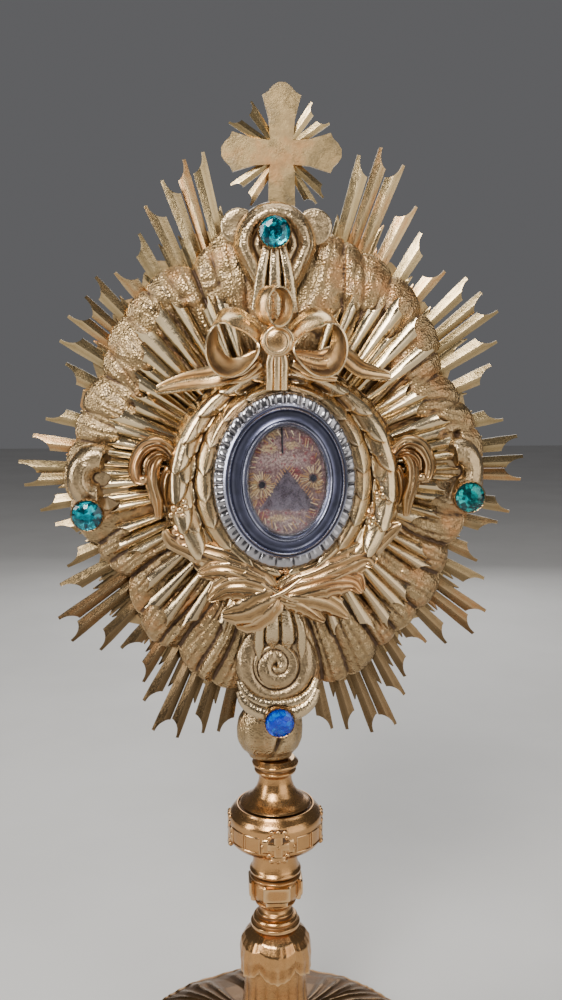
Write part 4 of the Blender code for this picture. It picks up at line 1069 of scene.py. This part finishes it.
# each frond: (points from the crossing outwards as (x, y, z), width, creases, curl)
SPRAY_RIGHT = [
    ([(-2, -27.0, 283), (15, -26.6, 290.0), (33, -24.6, 297.0), (47, -22.4, 304), (55, -21.6, 310.5),
      (59.5, -22.4, 313.4)], 10.5, 3, 1.4),
    ([(0, -27.6, 281.5), (16, -27.8, 287.5), (31, -26.4, 293.0), (42, -24.4, 296.6), (46.2, -24.6, 293.4)],
     12.5, 4, 1.8),
    ([(0, -28.2, 280), (14, -28.4, 284), (26, -27.0, 286.6), (36, -25.4, 285.6), (40.6, -25.2, 280.4)],
     14.0, 5, 1.7),
    ([(0, -28.4, 279), (12, -27.8, 279.0), (24, -25.6, 275.4), (34.5, -23.2, 267.4)], 12.0, 3, 0.6),
    ([(2, -28.0, 278), (12, -27.2, 274.6), (22.5, -24.6, 266.0)], 9.0, 3, 0.5),
]
SPRAY_LEFT = [
    ([(-1, -27.0, 283), (-13, -26.8, 292.0), (-27, -25.4, 298.0), (-40, -23.2, 302), (-50, -21.8, 306),
      (-54.6, -22.2, 311.5)], 10.5, 3, 1.4),
    ([(-2, -27.6, 281.5), (-14, -27.8, 288.5), (-27, -26.8, 292.5), (-38.4, -24.4, 290.4)], 12.5, 4, 1.4),
    ([(-3, -28.4, 280), (-14, -28.6, 284.6), (-25, -27.6, 284.2), (-33.6, -25.6, 278.0)], 13.5, 5, 1.6),
    ([(0, -28.6, 279.6), (-8, -29.0, 276.6), (-17, -28.2, 272.0), (-27.4, -26.0, 270.4)], 14.5, 3, 0.8),
    ([(0, -28.2, 279), (-5, -28.4, 273), (-13, -27.2, 266.6), (-20.6, -25.0, 264.8)], 10.0, 2, 0.4),
]


def sprays():
    """Two crossed sprays of fronds under the wreath, with small buds above and curled buds at the tips."""
    shapes = []
    for route, width, creases, curl in SPRAY_RIGHT + SPRAY_LEFT:
        shapes.append(frond(route, 1.3 * width, creases, crease=0.34, curl=curl, tint=RNG.uniform(0.3, 0.8)))
    for _ in range(16):
        x, z = -14 + 27 * RNG.uniform(), 289.5 + 5 * RNG.uniform()
        shapes.append(blob((x, -26.4, z), (1.7, 1.5, 1.6), 8, 12, 0.9))
    for x, z, size in ((48.2, 314.1, 3.6), (-45.3, 306.8, 3.4), (-48.2, 311.0, 2.4), (44.0, 318.5, 2.4)):
        shapes.append(blob((x, -22.5, z), (size, 2.4, size * 0.9), 10, 16, 0.9))
        turn = np.linspace(0, 1.4 * TAU, 40)
        reach = size * (1 - 0.45 * turn / TAU / 1.4)
        coil = spots(x + reach * np.cos(turn), -23.4 - 1.2 * (1 - reach / size), z + reach * np.sin(turn))
        shapes.append(cord_of(coil, 0.7, 0.8, 8, tint=0.9))
    for stalk in ([(-8, -28.4, 277.6), (2, -29.4, 281.8), (14, -27.4, 290.0)],
                  [(9, -28.2, 276.8), (0, -29.0, 281.2), (-12, -27.2, 289.6)]):
        shapes.append(cord_of(spline(stalk, 24), 1.5, 1.6, 12, tint=0.7))
    return piece("laurel_sprays", shapes, MATERIALS["leaf"], ["spray_left", "spray_right"],
                 rounds=6, depth=0.4)


# each leaf of a tendril: (points outwards from the wreath as (x, y, z), width, creases, curl)
TENDRIL = [
    ([(0, -20.0, 334), (1.5, -20.4, 345), (8, -21.4, 352.0), (15.5, -21.6, 350.5), (20, -21.6, 343),
      (19.4, -22.2, 336.0), (15.6, -23.0, 334.6)], 8.6, 3, 1.2),
    ([(6.5, -21.0, 348.5), (11.0, -22.0, 344), (12.4, -22.2, 335), (10.2, -21.8, 325), (9.6, -21.0, 316.5)],
     8.2, 3, 0.6),
    ([(1, -20.0, 340), (5.0, -20.6, 338), (6.6, -20.6, 330), (5.8, -19.8, 322)], 6.4, 2, 0.4),
    ([(4, -20.6, 346), (9, -22.6, 347.5), (13.6, -23.2, 344.5), (15.2, -23.2, 339)], 4.6, 2, 0.6),
]


def tendrils():
    """Hooked acanthus leaves beside the wreath, with another leaf hanging inside each hook."""
    shapes = []
    for side in (-1, 1):
        base = WREATH[0] + side * 50.0
        for route, width, creases, curl in TENDRIL:
            path = [(base + side * dx, y, z) for dx, y, z in route]
            shapes.append(frond(path, width, creases, 1.6, 4, 2.4, 0.42, curl, RNG.uniform(0.4, 0.7), 0.35))
        shapes.append(blob((base + side * 16.2, -22.6, 335.6), (2.4, 2.2, 2.4), 10, 16, 0.6))
    return piece("hooked_tendrils", shapes, MATERIALS["leaf"], ["tendril_left", "tendril_right"],
                 rounds=6, depth=0.45)


# ---------------------------------------------------------------- scrolls round the stones

def boss(centre, half, back, heights, tint=0.4, steps=168, rows=52, drop=(0.0, 0.0)):
    """A rounded relief whose heights(share, angle) stand in front of back; share is 0 in the middle, 1 at the
    edge. drop lengthens and narrows its lower half."""
    angle = dial(steps)
    share = np.linspace(0.02, 1.0, rows)[:, None] + 0 * angle
    below = np.clip(-np.cos(angle), 0, 1)
    x = centre[0] + half[0] * share * np.sin(angle) * (1 - drop[1] * below)
    z = centre[1] + half[1] * share * np.cos(angle) * (1 + drop[0] * below)
    rise = heights(share, angle) * arch(share ** 9)
    rise = rise + 0.10 * (waves(x, z, 8.0, 5) + 0.4 * waves(x, z, 3.0, 5)) * (share < 0.97)
    front = spots(x, back - np.maximum(rise, 0.05), z)
    return tube([*front, front[-1] * (1, 0, 1) + (0, back, 0)], tint=tint)


def arc_share(angle, towards, spread):
    """1 near the direction towards, fading to 0 at spread either side."""
    away = np.abs((angle - towards + math.pi) % TAU - math.pi)
    fade = np.clip((spread - away) / 0.5, 0, 1)
    return fade ** 2 * (3 - 2 * fade)


def roll(share, peak, width):
    """A half-round roll across a boss, 1 at the peak and 0 a width either side."""
    return arch(((share - peak) / width) ** 2)


def strip(path, widths, tint):
    """A bright flattened bar that faces the front."""
    return cord_of(spline(path, 24), np.asarray(widths) / 2, 1.7, 14, tint=tint)


def top_scroll():
    """The curled cloud over the top stone: two rolls in a drop shape, with bars below and lobes beside it."""
    centre, half = extent("top_scroll")
    front, back = centre[1] - half[1], centre[1] + half[1]

    def heights(share, angle):
        crease = 0.5 * bell(share, 0.88 + 0.03 * np.sin(3 * angle), 0.03)
        outer = 7.4 * roll(share, 0.75, 0.29) * arc_share(angle, 0.0, 3.0) - crease
        inner = 6.0 * roll(share, 0.42, 0.17) * arc_share(angle, 0.0, 2.7)
        return np.maximum(np.maximum(outer, inner), 2.4)

    shapes = [boss(centre[[0, 2]] + (0, 0.8), half[[0, 2]] * 1.03, back, heights, drop=(0.42, 0.32))]
    centre = middle("stone_top")[[0, 2]]
    for aside in (-16.0, 19.5):
        shapes.append(boss(centre + (aside, 4.0), (8.6, 8.4), back + 2.0, lambda *_: 1.0, 0.1, 72, 16))
    for x, end, width in ((-6.8, 414.5, 6.4), (0.4, 410.5, 7.2), (7.6, 413.5, 6.4)):
        path = [(centre[0] + 0.45 * x, front + 2.4, centre[1] - 4), (centre[0] + 0.9 * x, front + 1.6, 430),
                (centre[0] + 1.15 * x, front + 5.0, end)]
        shapes.append(strip(path, np.linspace(0.6, 1, 24) * width, 0.3))
    return piece("top_cloud_scroll", shapes, MATERIALS["scroll"], ["top_scroll"],
                 rounds=9, depth=0.7)


def side_scrolls():
    """The smooth rolls of cloud beside the left and right stones, each with a raised crescent inside."""
    shapes = []
    for name, side in (("left_scroll", -1), ("right_scroll", 1)):
        centre, half = extent(name)

        def heights(share, angle):
            rim = 6.0 * roll(share, 0.62, 0.46) * arc_share(angle, side * 1.45, 2.1)
            lip = 0.9 * bell(share, 0.46, 0.10) * arc_share(angle, side * 1.7, 1.4)
            return np.maximum(rim, 0.4 * (1 - share)) + lip

        shapes.append(boss((centre[0] - side * 4.6, centre[2] + 0.6), (half[0] + 4.6, half[2] * 1.06),
                           centre[1] + half[1], heights))
    return piece("side_cloud_scrolls", shapes, MATERIALS["scroll"], ["left_scroll", "right_scroll"],
                 rounds=10, depth=0.7)


def bottom_scroll():
    """Bars that run down from the wreath into a spiral, in a rounded bowl with a lip over the stone."""
    low, high = box("bottom_volute")
    heart, front = (0.5 * (low[0] + high[0]) - 1.6, low[2] + 14.0), low[1] + 1.2

    def heights(share, angle):
        reach = 20.5 * share
        curl = np.abs(np.sin(math.pi * (reach / 7.6 + (angle / TAU) % 1))) ** 0.6
        rolls = np.abs(np.sin(math.pi * (reach / 8.2 - 0.42))) ** 0.6
        tight = np.clip((11.5 - reach) / 1.5, 0, 1)
        below = 0.5 - 0.5 * np.cos(angle)
        bowl = 1.8 + (1.4 + 1.4 * (1 - share ** 2)) * below ** 0.5
        return bowl + 1.6 * curl * tight + 2.6 * rolls * (1 - tight) * below

    shapes = [boss(heart, (20.2, 21.0), high[1], heights, 0.4, 200, 74)]
    taper = np.concatenate([np.linspace(0.75, 1, 18), np.linspace(1, 0.45, 6)])
    for dx, end, width in ((-8.4, 3.0, 5.0), (-2.2, 9.6, 7.6), (5.6, 8.6, 7.0), (12.2, 2.0, 4.6)):
        shapes.append(strip([(heart[0] + dx * 0.75, front - 1.6, heart[1] + 29),
                             (heart[0] + dx, front - 1.6, heart[1] + 18),
                             (heart[0] + dx * 1.02, front + 2.6, heart[1] + end)], taper * width, 0.2))
    low, high = box("bottom_scroll")
    back = high[1]
    lip = spline([(low[0] + 0.6, back - 3.0, 228), (low[0] + 4, back - 4.6, 221.8), (-8.5, back - 5.8, 217.6),
                  (0.5, back - 6.2, 216.2), (10, back - 5.8, 217.6), (high[0] - 4, back - 4.6, 221.8),
                  (high[0] - 0.6, back - 3.0, 228)], 60)
    swell = np.sin(np.linspace(0.3, 2.84, 60)) ** 0.5
    shapes.append(cord_of(lip + (0, 0.6, 1.2), 4.0 * swell, 3.2 * swell, 18, tint=0.15))
    shapes.append(cord_of(lip + (0, 2.4, 6.0), 3.4 * swell, 3.2 * swell, 18, tint=0.35))
    return piece("bottom_cloud_scroll", shapes, MATERIALS["scroll"], ["bottom_scroll", "bottom_volute"],
                 rounds=8, depth=0.6)


# ---------------------------------------------------------------- stones

def stone(name, glass, coloured):
    """A cut glass stone on coloured foil, in a beaded collet."""
    centre, half = extent("stone_" + name)
    front, back, radius = centre[1] - half[1], centre[1] + half[1], 1.06 * half[0]
    step = TAU / 32  # half a facet

    def cut(rows):
        rings = []
        for share, y, shift in rows:
            x, z = polar(centre[[0, 2]], dial(16) + shift, radius * share)
            rings.append(spots(x, y, z))
        return [tube(rings)]

    over = [(0.06, front - 0.1, 0), (0.46, front, 0), (0.74, front + 0.8, step), (0.96, front + 2.0, 0),
            (1.0, front + 2.6, 0), (0.98, front + 2.9, 0)]
    piece("cut_stone_" + name, cut(over), glass, ["stone_" + name],
          sharp=3)
    under = [(0.05, back - 0.1, 0), (0.5, back - 0.45, step), (0.93, front + 2.95, 0), (0.93, back, 0),
             (0.05, back + 0.05, 0)]
    piece("foil_" + name, cut(under), coloured, [], sharp=3)
    low, high = box("bezel_" + name)
    outer = (high[0] - low[0]) / 2
    profile = [(0, high[1]), (0, low[1] + 1.2), (0.15, low[1] - 0.5), (0.5, low[1] - 0.9),
               (0.95, low[1] - 0.6), (1.0, high[1] - 0.6), (4.0, high[1] - 0.5), (4.0, high[1])]
    around = dial(96)
    collet = []
    for k, (inset, y) in enumerate(profile):
        reach = (outer - inset) * (1 + (0.02 if k in (2, 3, 4) else 0.0) * np.cos(24 * around))
        collet.append(spots(centre[0] + reach * np.sin(around), y, centre[2] + reach * np.cos(around)))
    return piece("collet_" + name, [hoop(collet)], MATERIALS["foot"], ["bezel_" + name],
                 rounds=3)


def stones():
    """Three green stones and a blue one below; the right one has a darker foil."""
    green, blue = crystal("green_glass", (0.12, 0.80, 0.86)), crystal("blue_glass", (0.03, 0.42, 1.0))
    green_foil = foil("green_foil", (0.0, 0.07, 0.10), (0.01, 0.92, 1.0))
    blue_foil = foil("blue_foil", (0.0, 0.07, 0.62), (0.0, 0.60, 1.0))
    deep_foil = foil("deep_foil", (0.0, 0.05, 0.05), (0.01, 0.66, 0.58))
    for name, glass, backing in (("top", green, green_foil), ("left", green, green_foil),
                                 ("right", green, deep_foil), ("bottom", blue, blue_foil)):
        stone(name, glass, backing)


# ---------------------------------------------------------------- cross
# (degrees from the top, tip radius, side of the hook)
CROSS_RAYS = [(35.5, 27.4, -1), (54.7, 26.8, 1), (131.2, 28.6, 1), (147.8, 28.6, -1),
              (-35.6, 27.4, 1), (-57.3, 28.4, -1), (-125.2, 28.4, 1), (-144.8, 28.6, -1)]
CROSS_REACH = 31.8  # from the middle of the cross to its top


def cross_star():
    """Small folded rays in the four angles of the cross."""
    low, high = box("cross")
    centre = ((low[0] + high[0]) / 2, high[2] - CROSS_REACH)
    shapes = []
    for degrees, tip, hook in CROSS_RAYS:
        shapes.append(ray_bar(centre, math.radians(degrees), 5.0, tip, hook, 4.8, ridge=0.9, sheet=0.5,
                              bite=4.4, base=0.7, narrow=0.75, point=1.0, tint=RNG.uniform(0.3, 0.7)))
    return piece("cross_star", shapes, MATERIALS["rays"], ["cross_rays"], rounds=3, depth=0.6)


# ---------------------------------------------------------------- stem and foot

def turned(name, node_name, shape, steps=128, ripple=None, extra=4, pull=0.22, rounds=5, depth=0.4):
    """A turned part: shape holds (radius, height) as shares of the node's own radius and height."""
    low, high = box(node_name)
    radius = (high[0] - low[0]) / 2
    profile = rounded([(radius * r, low[2] + (high[2] - low[2]) * z) for r, z in shape], extra, pull)
    return piece(name, [lathe(profile, steps, ripple)], MATERIALS["stem"], [node_name],
                 rounds=rounds, depth=depth)


def bulb():
    """The shell socket under the bottom stone: two swelling lobes with a slanting groove between them."""
    centre, half = extent("bulb")
    angle = dial(112)
    x, y = np.sin(angle), -np.cos(angle)
    sections = []
    for r, z in rounded([(0.50, 0.0), (0.62, 0.03), (0.66, 0.10), (0.84, 0.20), (0.98, 0.38), (1.0, 0.60),
                         (0.95, 0.80), (0.80, 0.94), (0.40, 1.0)], 4, 0.3):
        swell = math.sin(math.pi * min(z * 1.05, 1))
        groove = 0.30 * z - 0.02 + 0.16 * math.sin(2.6 * z)
        lobes = (1 - 0.24 * swell * bell(x, groove, 0.11) * (y < 0)) * (1 - 0.07 * swell * (x > groove))
        reach = r * lobes * (1 + 0.02 * swell * np.cos(9 * angle) * (np.abs(x) > 0.25))
        sections.append(centre + half * spots(reach * x, reach * y, 2 * z - 1))
    return piece("shell_bulb", [tube(sections)], MATERIALS["cloud"], ["bulb"],
                 sharp=50, rounds=10, depth=0.6)
# each plate of a cross on the knop: place round the knop and up, half width and half height, in mm
PLAQUE_PLATES = [(0, 0, 8.6, 2.4), (0, 0, 2.6, 8.2), (-6.6, 0, 1.9, 4.0), (6.6, 0, 1.9, 4.0),
                 (0, 6.4, 4.2, 1.8), (0, -6.4, 4.2, 1.8)]
PLAQUE_BOSSES = [(a, h) for a in (-4.6, 4.6) for h in (-4.6, 4.6)] + [
    (0, 0), (0, 7.6), (0, -7.6), (-8.0, 0), (8.0, 0), (-3.4, 7.4), (3.4, 7.4), (-3.4, -7.4), (3.4, -7.4)]


def knop_plaques():
    """Crosses with raised bosses on the four sides of the main knop, and a framed panel beside each."""
    centre, half = extent("main_knop")
    radius, mid = half[0], centre[2] - 0.6
    shapes = []
    for face in dial(4):
        for a, h, wide, tall in PLAQUE_PLATES:
            turn, rise = np.meshgrid(np.linspace(-1, 1, 11), np.linspace(-1, 1, 11), indexing="ij")
            around, height = face + (a + wide * turn) / radius, mid + h + tall * rise
            puffed = radius - 0.7 + 1.1 * arch(turn ** 4) * arch(rise ** 4)
            shapes.append(slab(upright(puffed, around, height), upright(radius - 1.8, around, height), 0.35))
        for a, h in PLAQUE_BOSSES:
            spot = upright(radius - 0.9, face + a / radius, mid + h)
            shapes.append(blob(spot, (1.5, 1.5, 1.5), 9, 14, 0.15))
        for a in (-14.2, 14.2):
            corners = np.array([(-1, -1), (1, -1), (1, 1), (-1, 1), (-1, -1)])
            outline = [np.linspace(p, q, 9)[:-1] for p, q in zip(corners, corners[1:])]
            wide, tall = np.concatenate([*outline, corners[:1]]).T
            route = upright(radius - 0.5, face + (a + 4.4 * wide) / radius, mid + 3.9 * tall)
            out = route * (1, 1, 0)
            facing = out / np.linalg.norm(out, axis=1)[:, None]
            shapes.append(cord_of(route, 0.5, 0.7, 8, facing=facing, tint=0.3))
    nodes = ["knop_cross_front", "knop_cross_right", "knop_cross_back", "knop_cross_left"]
    return piece("knop_plaques", shapes, MATERIALS["stem"], nodes, rounds=5, depth=0.5)


def column_flutes(angle, spot):
    """Shallow flutes that run out towards the top of the column."""
    depth = np.clip((76.5 - spot[1]) / 20, 0, 1) * 0.05
    return 1 - depth * (1 - np.abs(np.sin(8 * angle)) ** 0.7)


def knop_blocks():
    """Four broad square blocks that stand out of the small knop, each with a step near its foot."""
    centre, half = extent("small_knop")
    radius, low, tall_of = half[0], centre[2] - half[2], 2 * half[2]
    u, v = np.meshgrid(np.linspace(-1, 1, 15), np.linspace(-1, 1, 11), indexing="ij")
    shapes = []
    for face in dial(4):
        for mid, tall, wide, stand in ((0.60, 4.4, 7.6, 0.0), (0.28, 1.4, 6.8, -1.0)):
            turn, height = wide * u / radius, low + mid * tall_of + tall * v
            reach = (radius + stand) / np.cos(turn) * 0.90 - 1.0 + 1.4 * arch(u ** 10) * arch(v ** 8)
            skins = [upright(r, face + turn, height) for r in (reach, radius - 4.6)]
            shapes.append(slab(*skins, 0.4))
    return piece("knop_blocks", shapes, MATERIALS["stem"], [], rounds=4, depth=0.4)


def collar_leaves():
    """Six broad leaves folded down over the top of the column, with pointed tips and a rib down each."""
    centre, half = extent("leaf_collar")
    radius, top, height = half[0], centre[2] + half[2], 2 * half[2]
    angle = dial(240)
    lobe = np.abs(np.cos(3 * angle))
    s = np.linspace(0, 1, 34)[:, None]
    reach = radius * np.interp(s, [0, 0.08, 0.2, 0.4, 0.65, 0.88, 1.0],
                               [0.46, 0.64, 0.82, 0.95, 1.0, 0.985, 0.99])
    edge = top - height * s * (0.74 + 0.26 * lobe ** 0.55 + 0.012 * np.cos(36 * angle))
    rib = 0.030 * np.exp(-((1 - lobe) / 0.02)) * s
    fold = 1 + rib + 0.012 * np.cos(24 * angle) * s ** 2 - 0.045 * (1 - lobe) ** 1.5 * s
    outside = upright(reach * fold, angle, edge)
    inside = outside[::-1] * (0.94, 0.94, 1) - (0, 0, 0.8)
    inside[0, :, 2] += 0.8
    return piece("collar_leaves", [tube([*outside, *inside])], MATERIALS["stem"], ["leaf_collar"],
                 sharp=60, rounds=8, depth=0.5)


def foot():
    """Domed foot embossed with eight acanthus lobes, each with curved veins and a scroll at its sides."""
    radius = extent("foot_dome")[1][0]
    angle = dial(600)
    reach = np.linspace(16.5, radius, 96)[:, None]
    share = (reach - 16.5) / (radius - 16.5)
    z = np.interp(reach, [16.5, 22, 30, 44, 60, 74, 84, 87.4, radius],
                  [33.0, 32.2, 30.4, 27.0, 23.8, 19.4, 15.2, 13.0, 11.0])
    sector = np.abs((angle * 8 / TAU + 0.5) % 1 * 2 - 1)
    lobe = arch((sector / (0.5 + 0.46 * np.clip(share * 1.15, 0, 1))) ** 2.4)
    veins = np.cos(9 * math.pi * (sector ** 0.8 * 0.9 - 0.32 * share))
    curl = np.exp(-((share - 0.86) ** 2 + (sector - 0.55) ** 2 * 0.35) / 0.008)
    fade = np.sin(math.pi * np.clip(share, 0.02, 0.94) ** 0.7) ** 0.5
    z = z + fade * (2.2 + 0.75 * veins) * lobe + 1.4 * curl + 1.3 * bell(share, 0.965, 0.016) - 1.5
    skin = hoop([*upright(reach, angle, z), upright(radius, angle, 10.0), upright(16.5, angle, 30.0)], 0.4)
    return piece("foot_relief", [skin], MATERIALS["foot"], ["foot_dome"],
                 sharp=50, rounds=12, depth=0.7)
# turned parts: name, node, settings and the profile as shares of the node's radius and height
TURNINGS = [
    ("neck_turning", "neck", {},
     [(0.88, 0.0), (0.93, 0.012), (0.88, 0.05), (0.73, 0.12), (0.60, 0.22), (0.50, 0.34), (0.44, 0.48),
      (0.42, 0.62), (0.46, 0.68), (0.54, 0.71), (0.55, 0.75), (0.49, 0.79), (0.48, 0.82), (0.60, 0.86),
      (0.61, 0.91), (0.56, 0.95), (0.50, 1.0)]),
    ("main_knop_turning", "main_knop", dict(rounds=6, depth=0.6, pull=0.15),
     [(0.58, 0.0), (0.66, 0.02), (0.90, 0.17), (0.97, 0.25), (0.99, 0.31), (0.99, 0.74), (0.975, 0.80),
      (0.93, 0.87), (0.85, 0.955), (0.82, 1.0), (0.795, 1.0), (0.775, 0.96), (0.70, 0.94), (0.5, 0.95)]),
    ("vase_turning", "vase", dict(rounds=6, depth=0.5),
     [(0.74, 0.0), (0.98, 0.04), (1.0, 0.14), (0.90, 0.26), (0.86, 0.5), (0.84, 0.8), (0.88, 0.95),
      (0.86, 1.0)]),
    ("small_knop_turning", "small_knop", dict(depth=0.45),
     [(0.62, 0.0), (0.70, 0.04), (0.72, 0.10), (0.64, 0.15), (0.62, 0.20), (0.80, 0.26), (0.84, 0.40),
      (0.84, 0.72), (0.80, 0.80), (0.86, 0.85), (0.88, 0.92), (0.80, 0.97), (0.70, 1.0)]),
    ("cap_turning", "column_cap", {},
     [(0.98, 0.0), (0.99, 0.14), (0.86, 0.22), (0.90, 0.34), (0.84, 0.44), (0.68, 0.50), (0.72, 0.62),
      (0.62, 0.72), (0.58, 0.86), (0.66, 1.0)]),
    ("column_turning", "column",
     dict(steps=256, ripple=column_flutes, extra=9, pull=0.45, rounds=8, depth=0.6),
     [(1.0, 0.0), (0.92, 0.05), (0.78, 0.16), (0.68, 0.34), (0.63, 0.6), (0.62, 0.9), (0.62, 1.0)]),
    ("flange_turning", "foot_flange", dict(steps=200, rounds=4, depth=0.5),
     [(0.93, 0.02), (0.985, 0.0), (1.0, 0.12), (1.0, 0.34), (0.975, 0.42), (0.985, 0.54), (0.975, 0.70),
      (0.945, 0.78), (0.94, 1.0), (0.90, 1.0), (0.90, 0.02)]),
]


def stem():
    """The turned parts from the neck down to the flange of the foot."""
    for name, node_name, settings, shape in TURNINGS:
        turned(name, node_name, shape, **settings)


# ---------------------------------------------------------------- everything

outer_rays()
clouds()
inner_rays()
wreath()
bow()
bow_tails()
fluted_ring()
theca_frame()
theca_glass()
relic_panel()
sprays()
tendrils()
top_scroll()
side_scrolls()
bottom_scroll()
stones()
cross_star()
bulb()
knop_plaques()
knop_blocks()
collar_leaves()
foot()
stem()
# dirt and painted shade where pieces shelter each other
settle_dirt([obj for obj in bpy.data.objects if obj.type == "MESH" and "wear" in obj.data.attributes
             and not any(word in obj.name for word in ("crystal", "stone", "relic", "thread"))])

KEPT = {
    "plain_gilt": ["back_plate", "cross", "case_wall", "tang", "latch_button"],
    "plain_bronze": ["rear_door", "hinge_bracket", "latch_keeper"],
    "plain_dark": ["theca_cup"],
    "iron": ["tie_rod", "rod_nut", "rod_washer", "tang_pin", "hinge_pin", "latch_rivet"],
}
for finish, names in KEPT.items():
    for name in names:
        kept = NODES[name]
        kept.data.materials.clear()
        kept.data.materials.append(MATERIALS[finish])


# ---------------------------------------------------------------- floor, light and camera

def floor():
    """A pale floor that fills the picture below the horizon."""
    paint = Paint("pale_floor")
    shade = paint.noise(6.0).ramp(0.3, 0.7)
    paint.set(base_color=paint.blend(shade, (0.60, 0.59, 0.57, 1), (0.64, 0.63, 0.61, 1)), roughness=0.75)
    mesh = bpy.data.meshes.new("floor")
    mesh.from_pydata([(-4, -4, 0), (4, -4, 0), (4, 4, 0), (-4, 4, 0)], [], [(0, 1, 2, 3)])
    mesh.materials.append(paint.material)
    obj = bpy.data.objects.new("floor", mesh)
    bpy.context.scene.collection.objects.link(obj)


def area_light(name, place, aim, size, power, colour=(1, 1, 1)):
    """A rectangular light at a place, in metres, turned towards an aim."""
    data = bpy.data.lights.new(name, "AREA")
    data.shape, data.size, data.size_y = "RECTANGLE", size[0], size[1]
    data.energy, data.color = power, colour
    obj = bpy.data.objects.new(name, data)
    obj.location = place
    obj.rotation_euler = (Vector(aim) - Vector(place)).to_track_quat("-Z", "Y").to_euler()
    bpy.context.scene.collection.objects.link(obj)


def camera():
    """Half a metre away, a little left of the front and a little above the middle of the head."""
    target, distance = Vector((0.003, 0, 0.322)), 0.5
    turn, rise = math.radians(-4), math.radians(8)
    data = bpy.data.cameras.new("camera")
    data.lens, data.sensor_width, data.sensor_fit = 36, 36, "AUTO"
    data.clip_start = 0.01
    obj = bpy.data.objects.new("camera", data)
    level = math.cos(rise)
    aim = Vector((math.sin(turn) * level, -math.cos(turn) * level, math.sin(rise)))
    obj.location = target + distance * aim
    obj.rotation_euler = (target - obj.location).to_track_quat("-Z", "Y").to_euler()
    bpy.context.scene.collection.objects.link(obj)
    bpy.context.scene.camera = obj


floor()
camera()
area_light("key", (-0.38, -1.0, 1.15), (0, 0, 0.33), (0.5, 0.5), 21.5, (1.0, 0.975, 0.94))
area_light("side", (-1.3, -0.45, 0.62), (0, 0, 0.36), (0.3, 0.9), 10, (1.0, 0.98, 0.95))
area_light("fill", (0.9, -0.8, 0.5), (0, 0, 0.33), (1.1, 1.2), 8.5, (1.0, 0.97, 0.93))
area_light("top", (0.1, 0.2, 1.5), (0, 0, 0.3), (0.9, 0.9), 8)
area_light("back", (0.2, 1.2, 0.7), (0, 0, 0.33), (0.9, 0.9), 6)
world = bpy.data.worlds.new("room")
bpy.context.scene.world = world
world.use_nodes = True
world.node_tree.nodes["Background"].inputs["Color"].default_value = (0.12, 0.12, 0.125, 1)
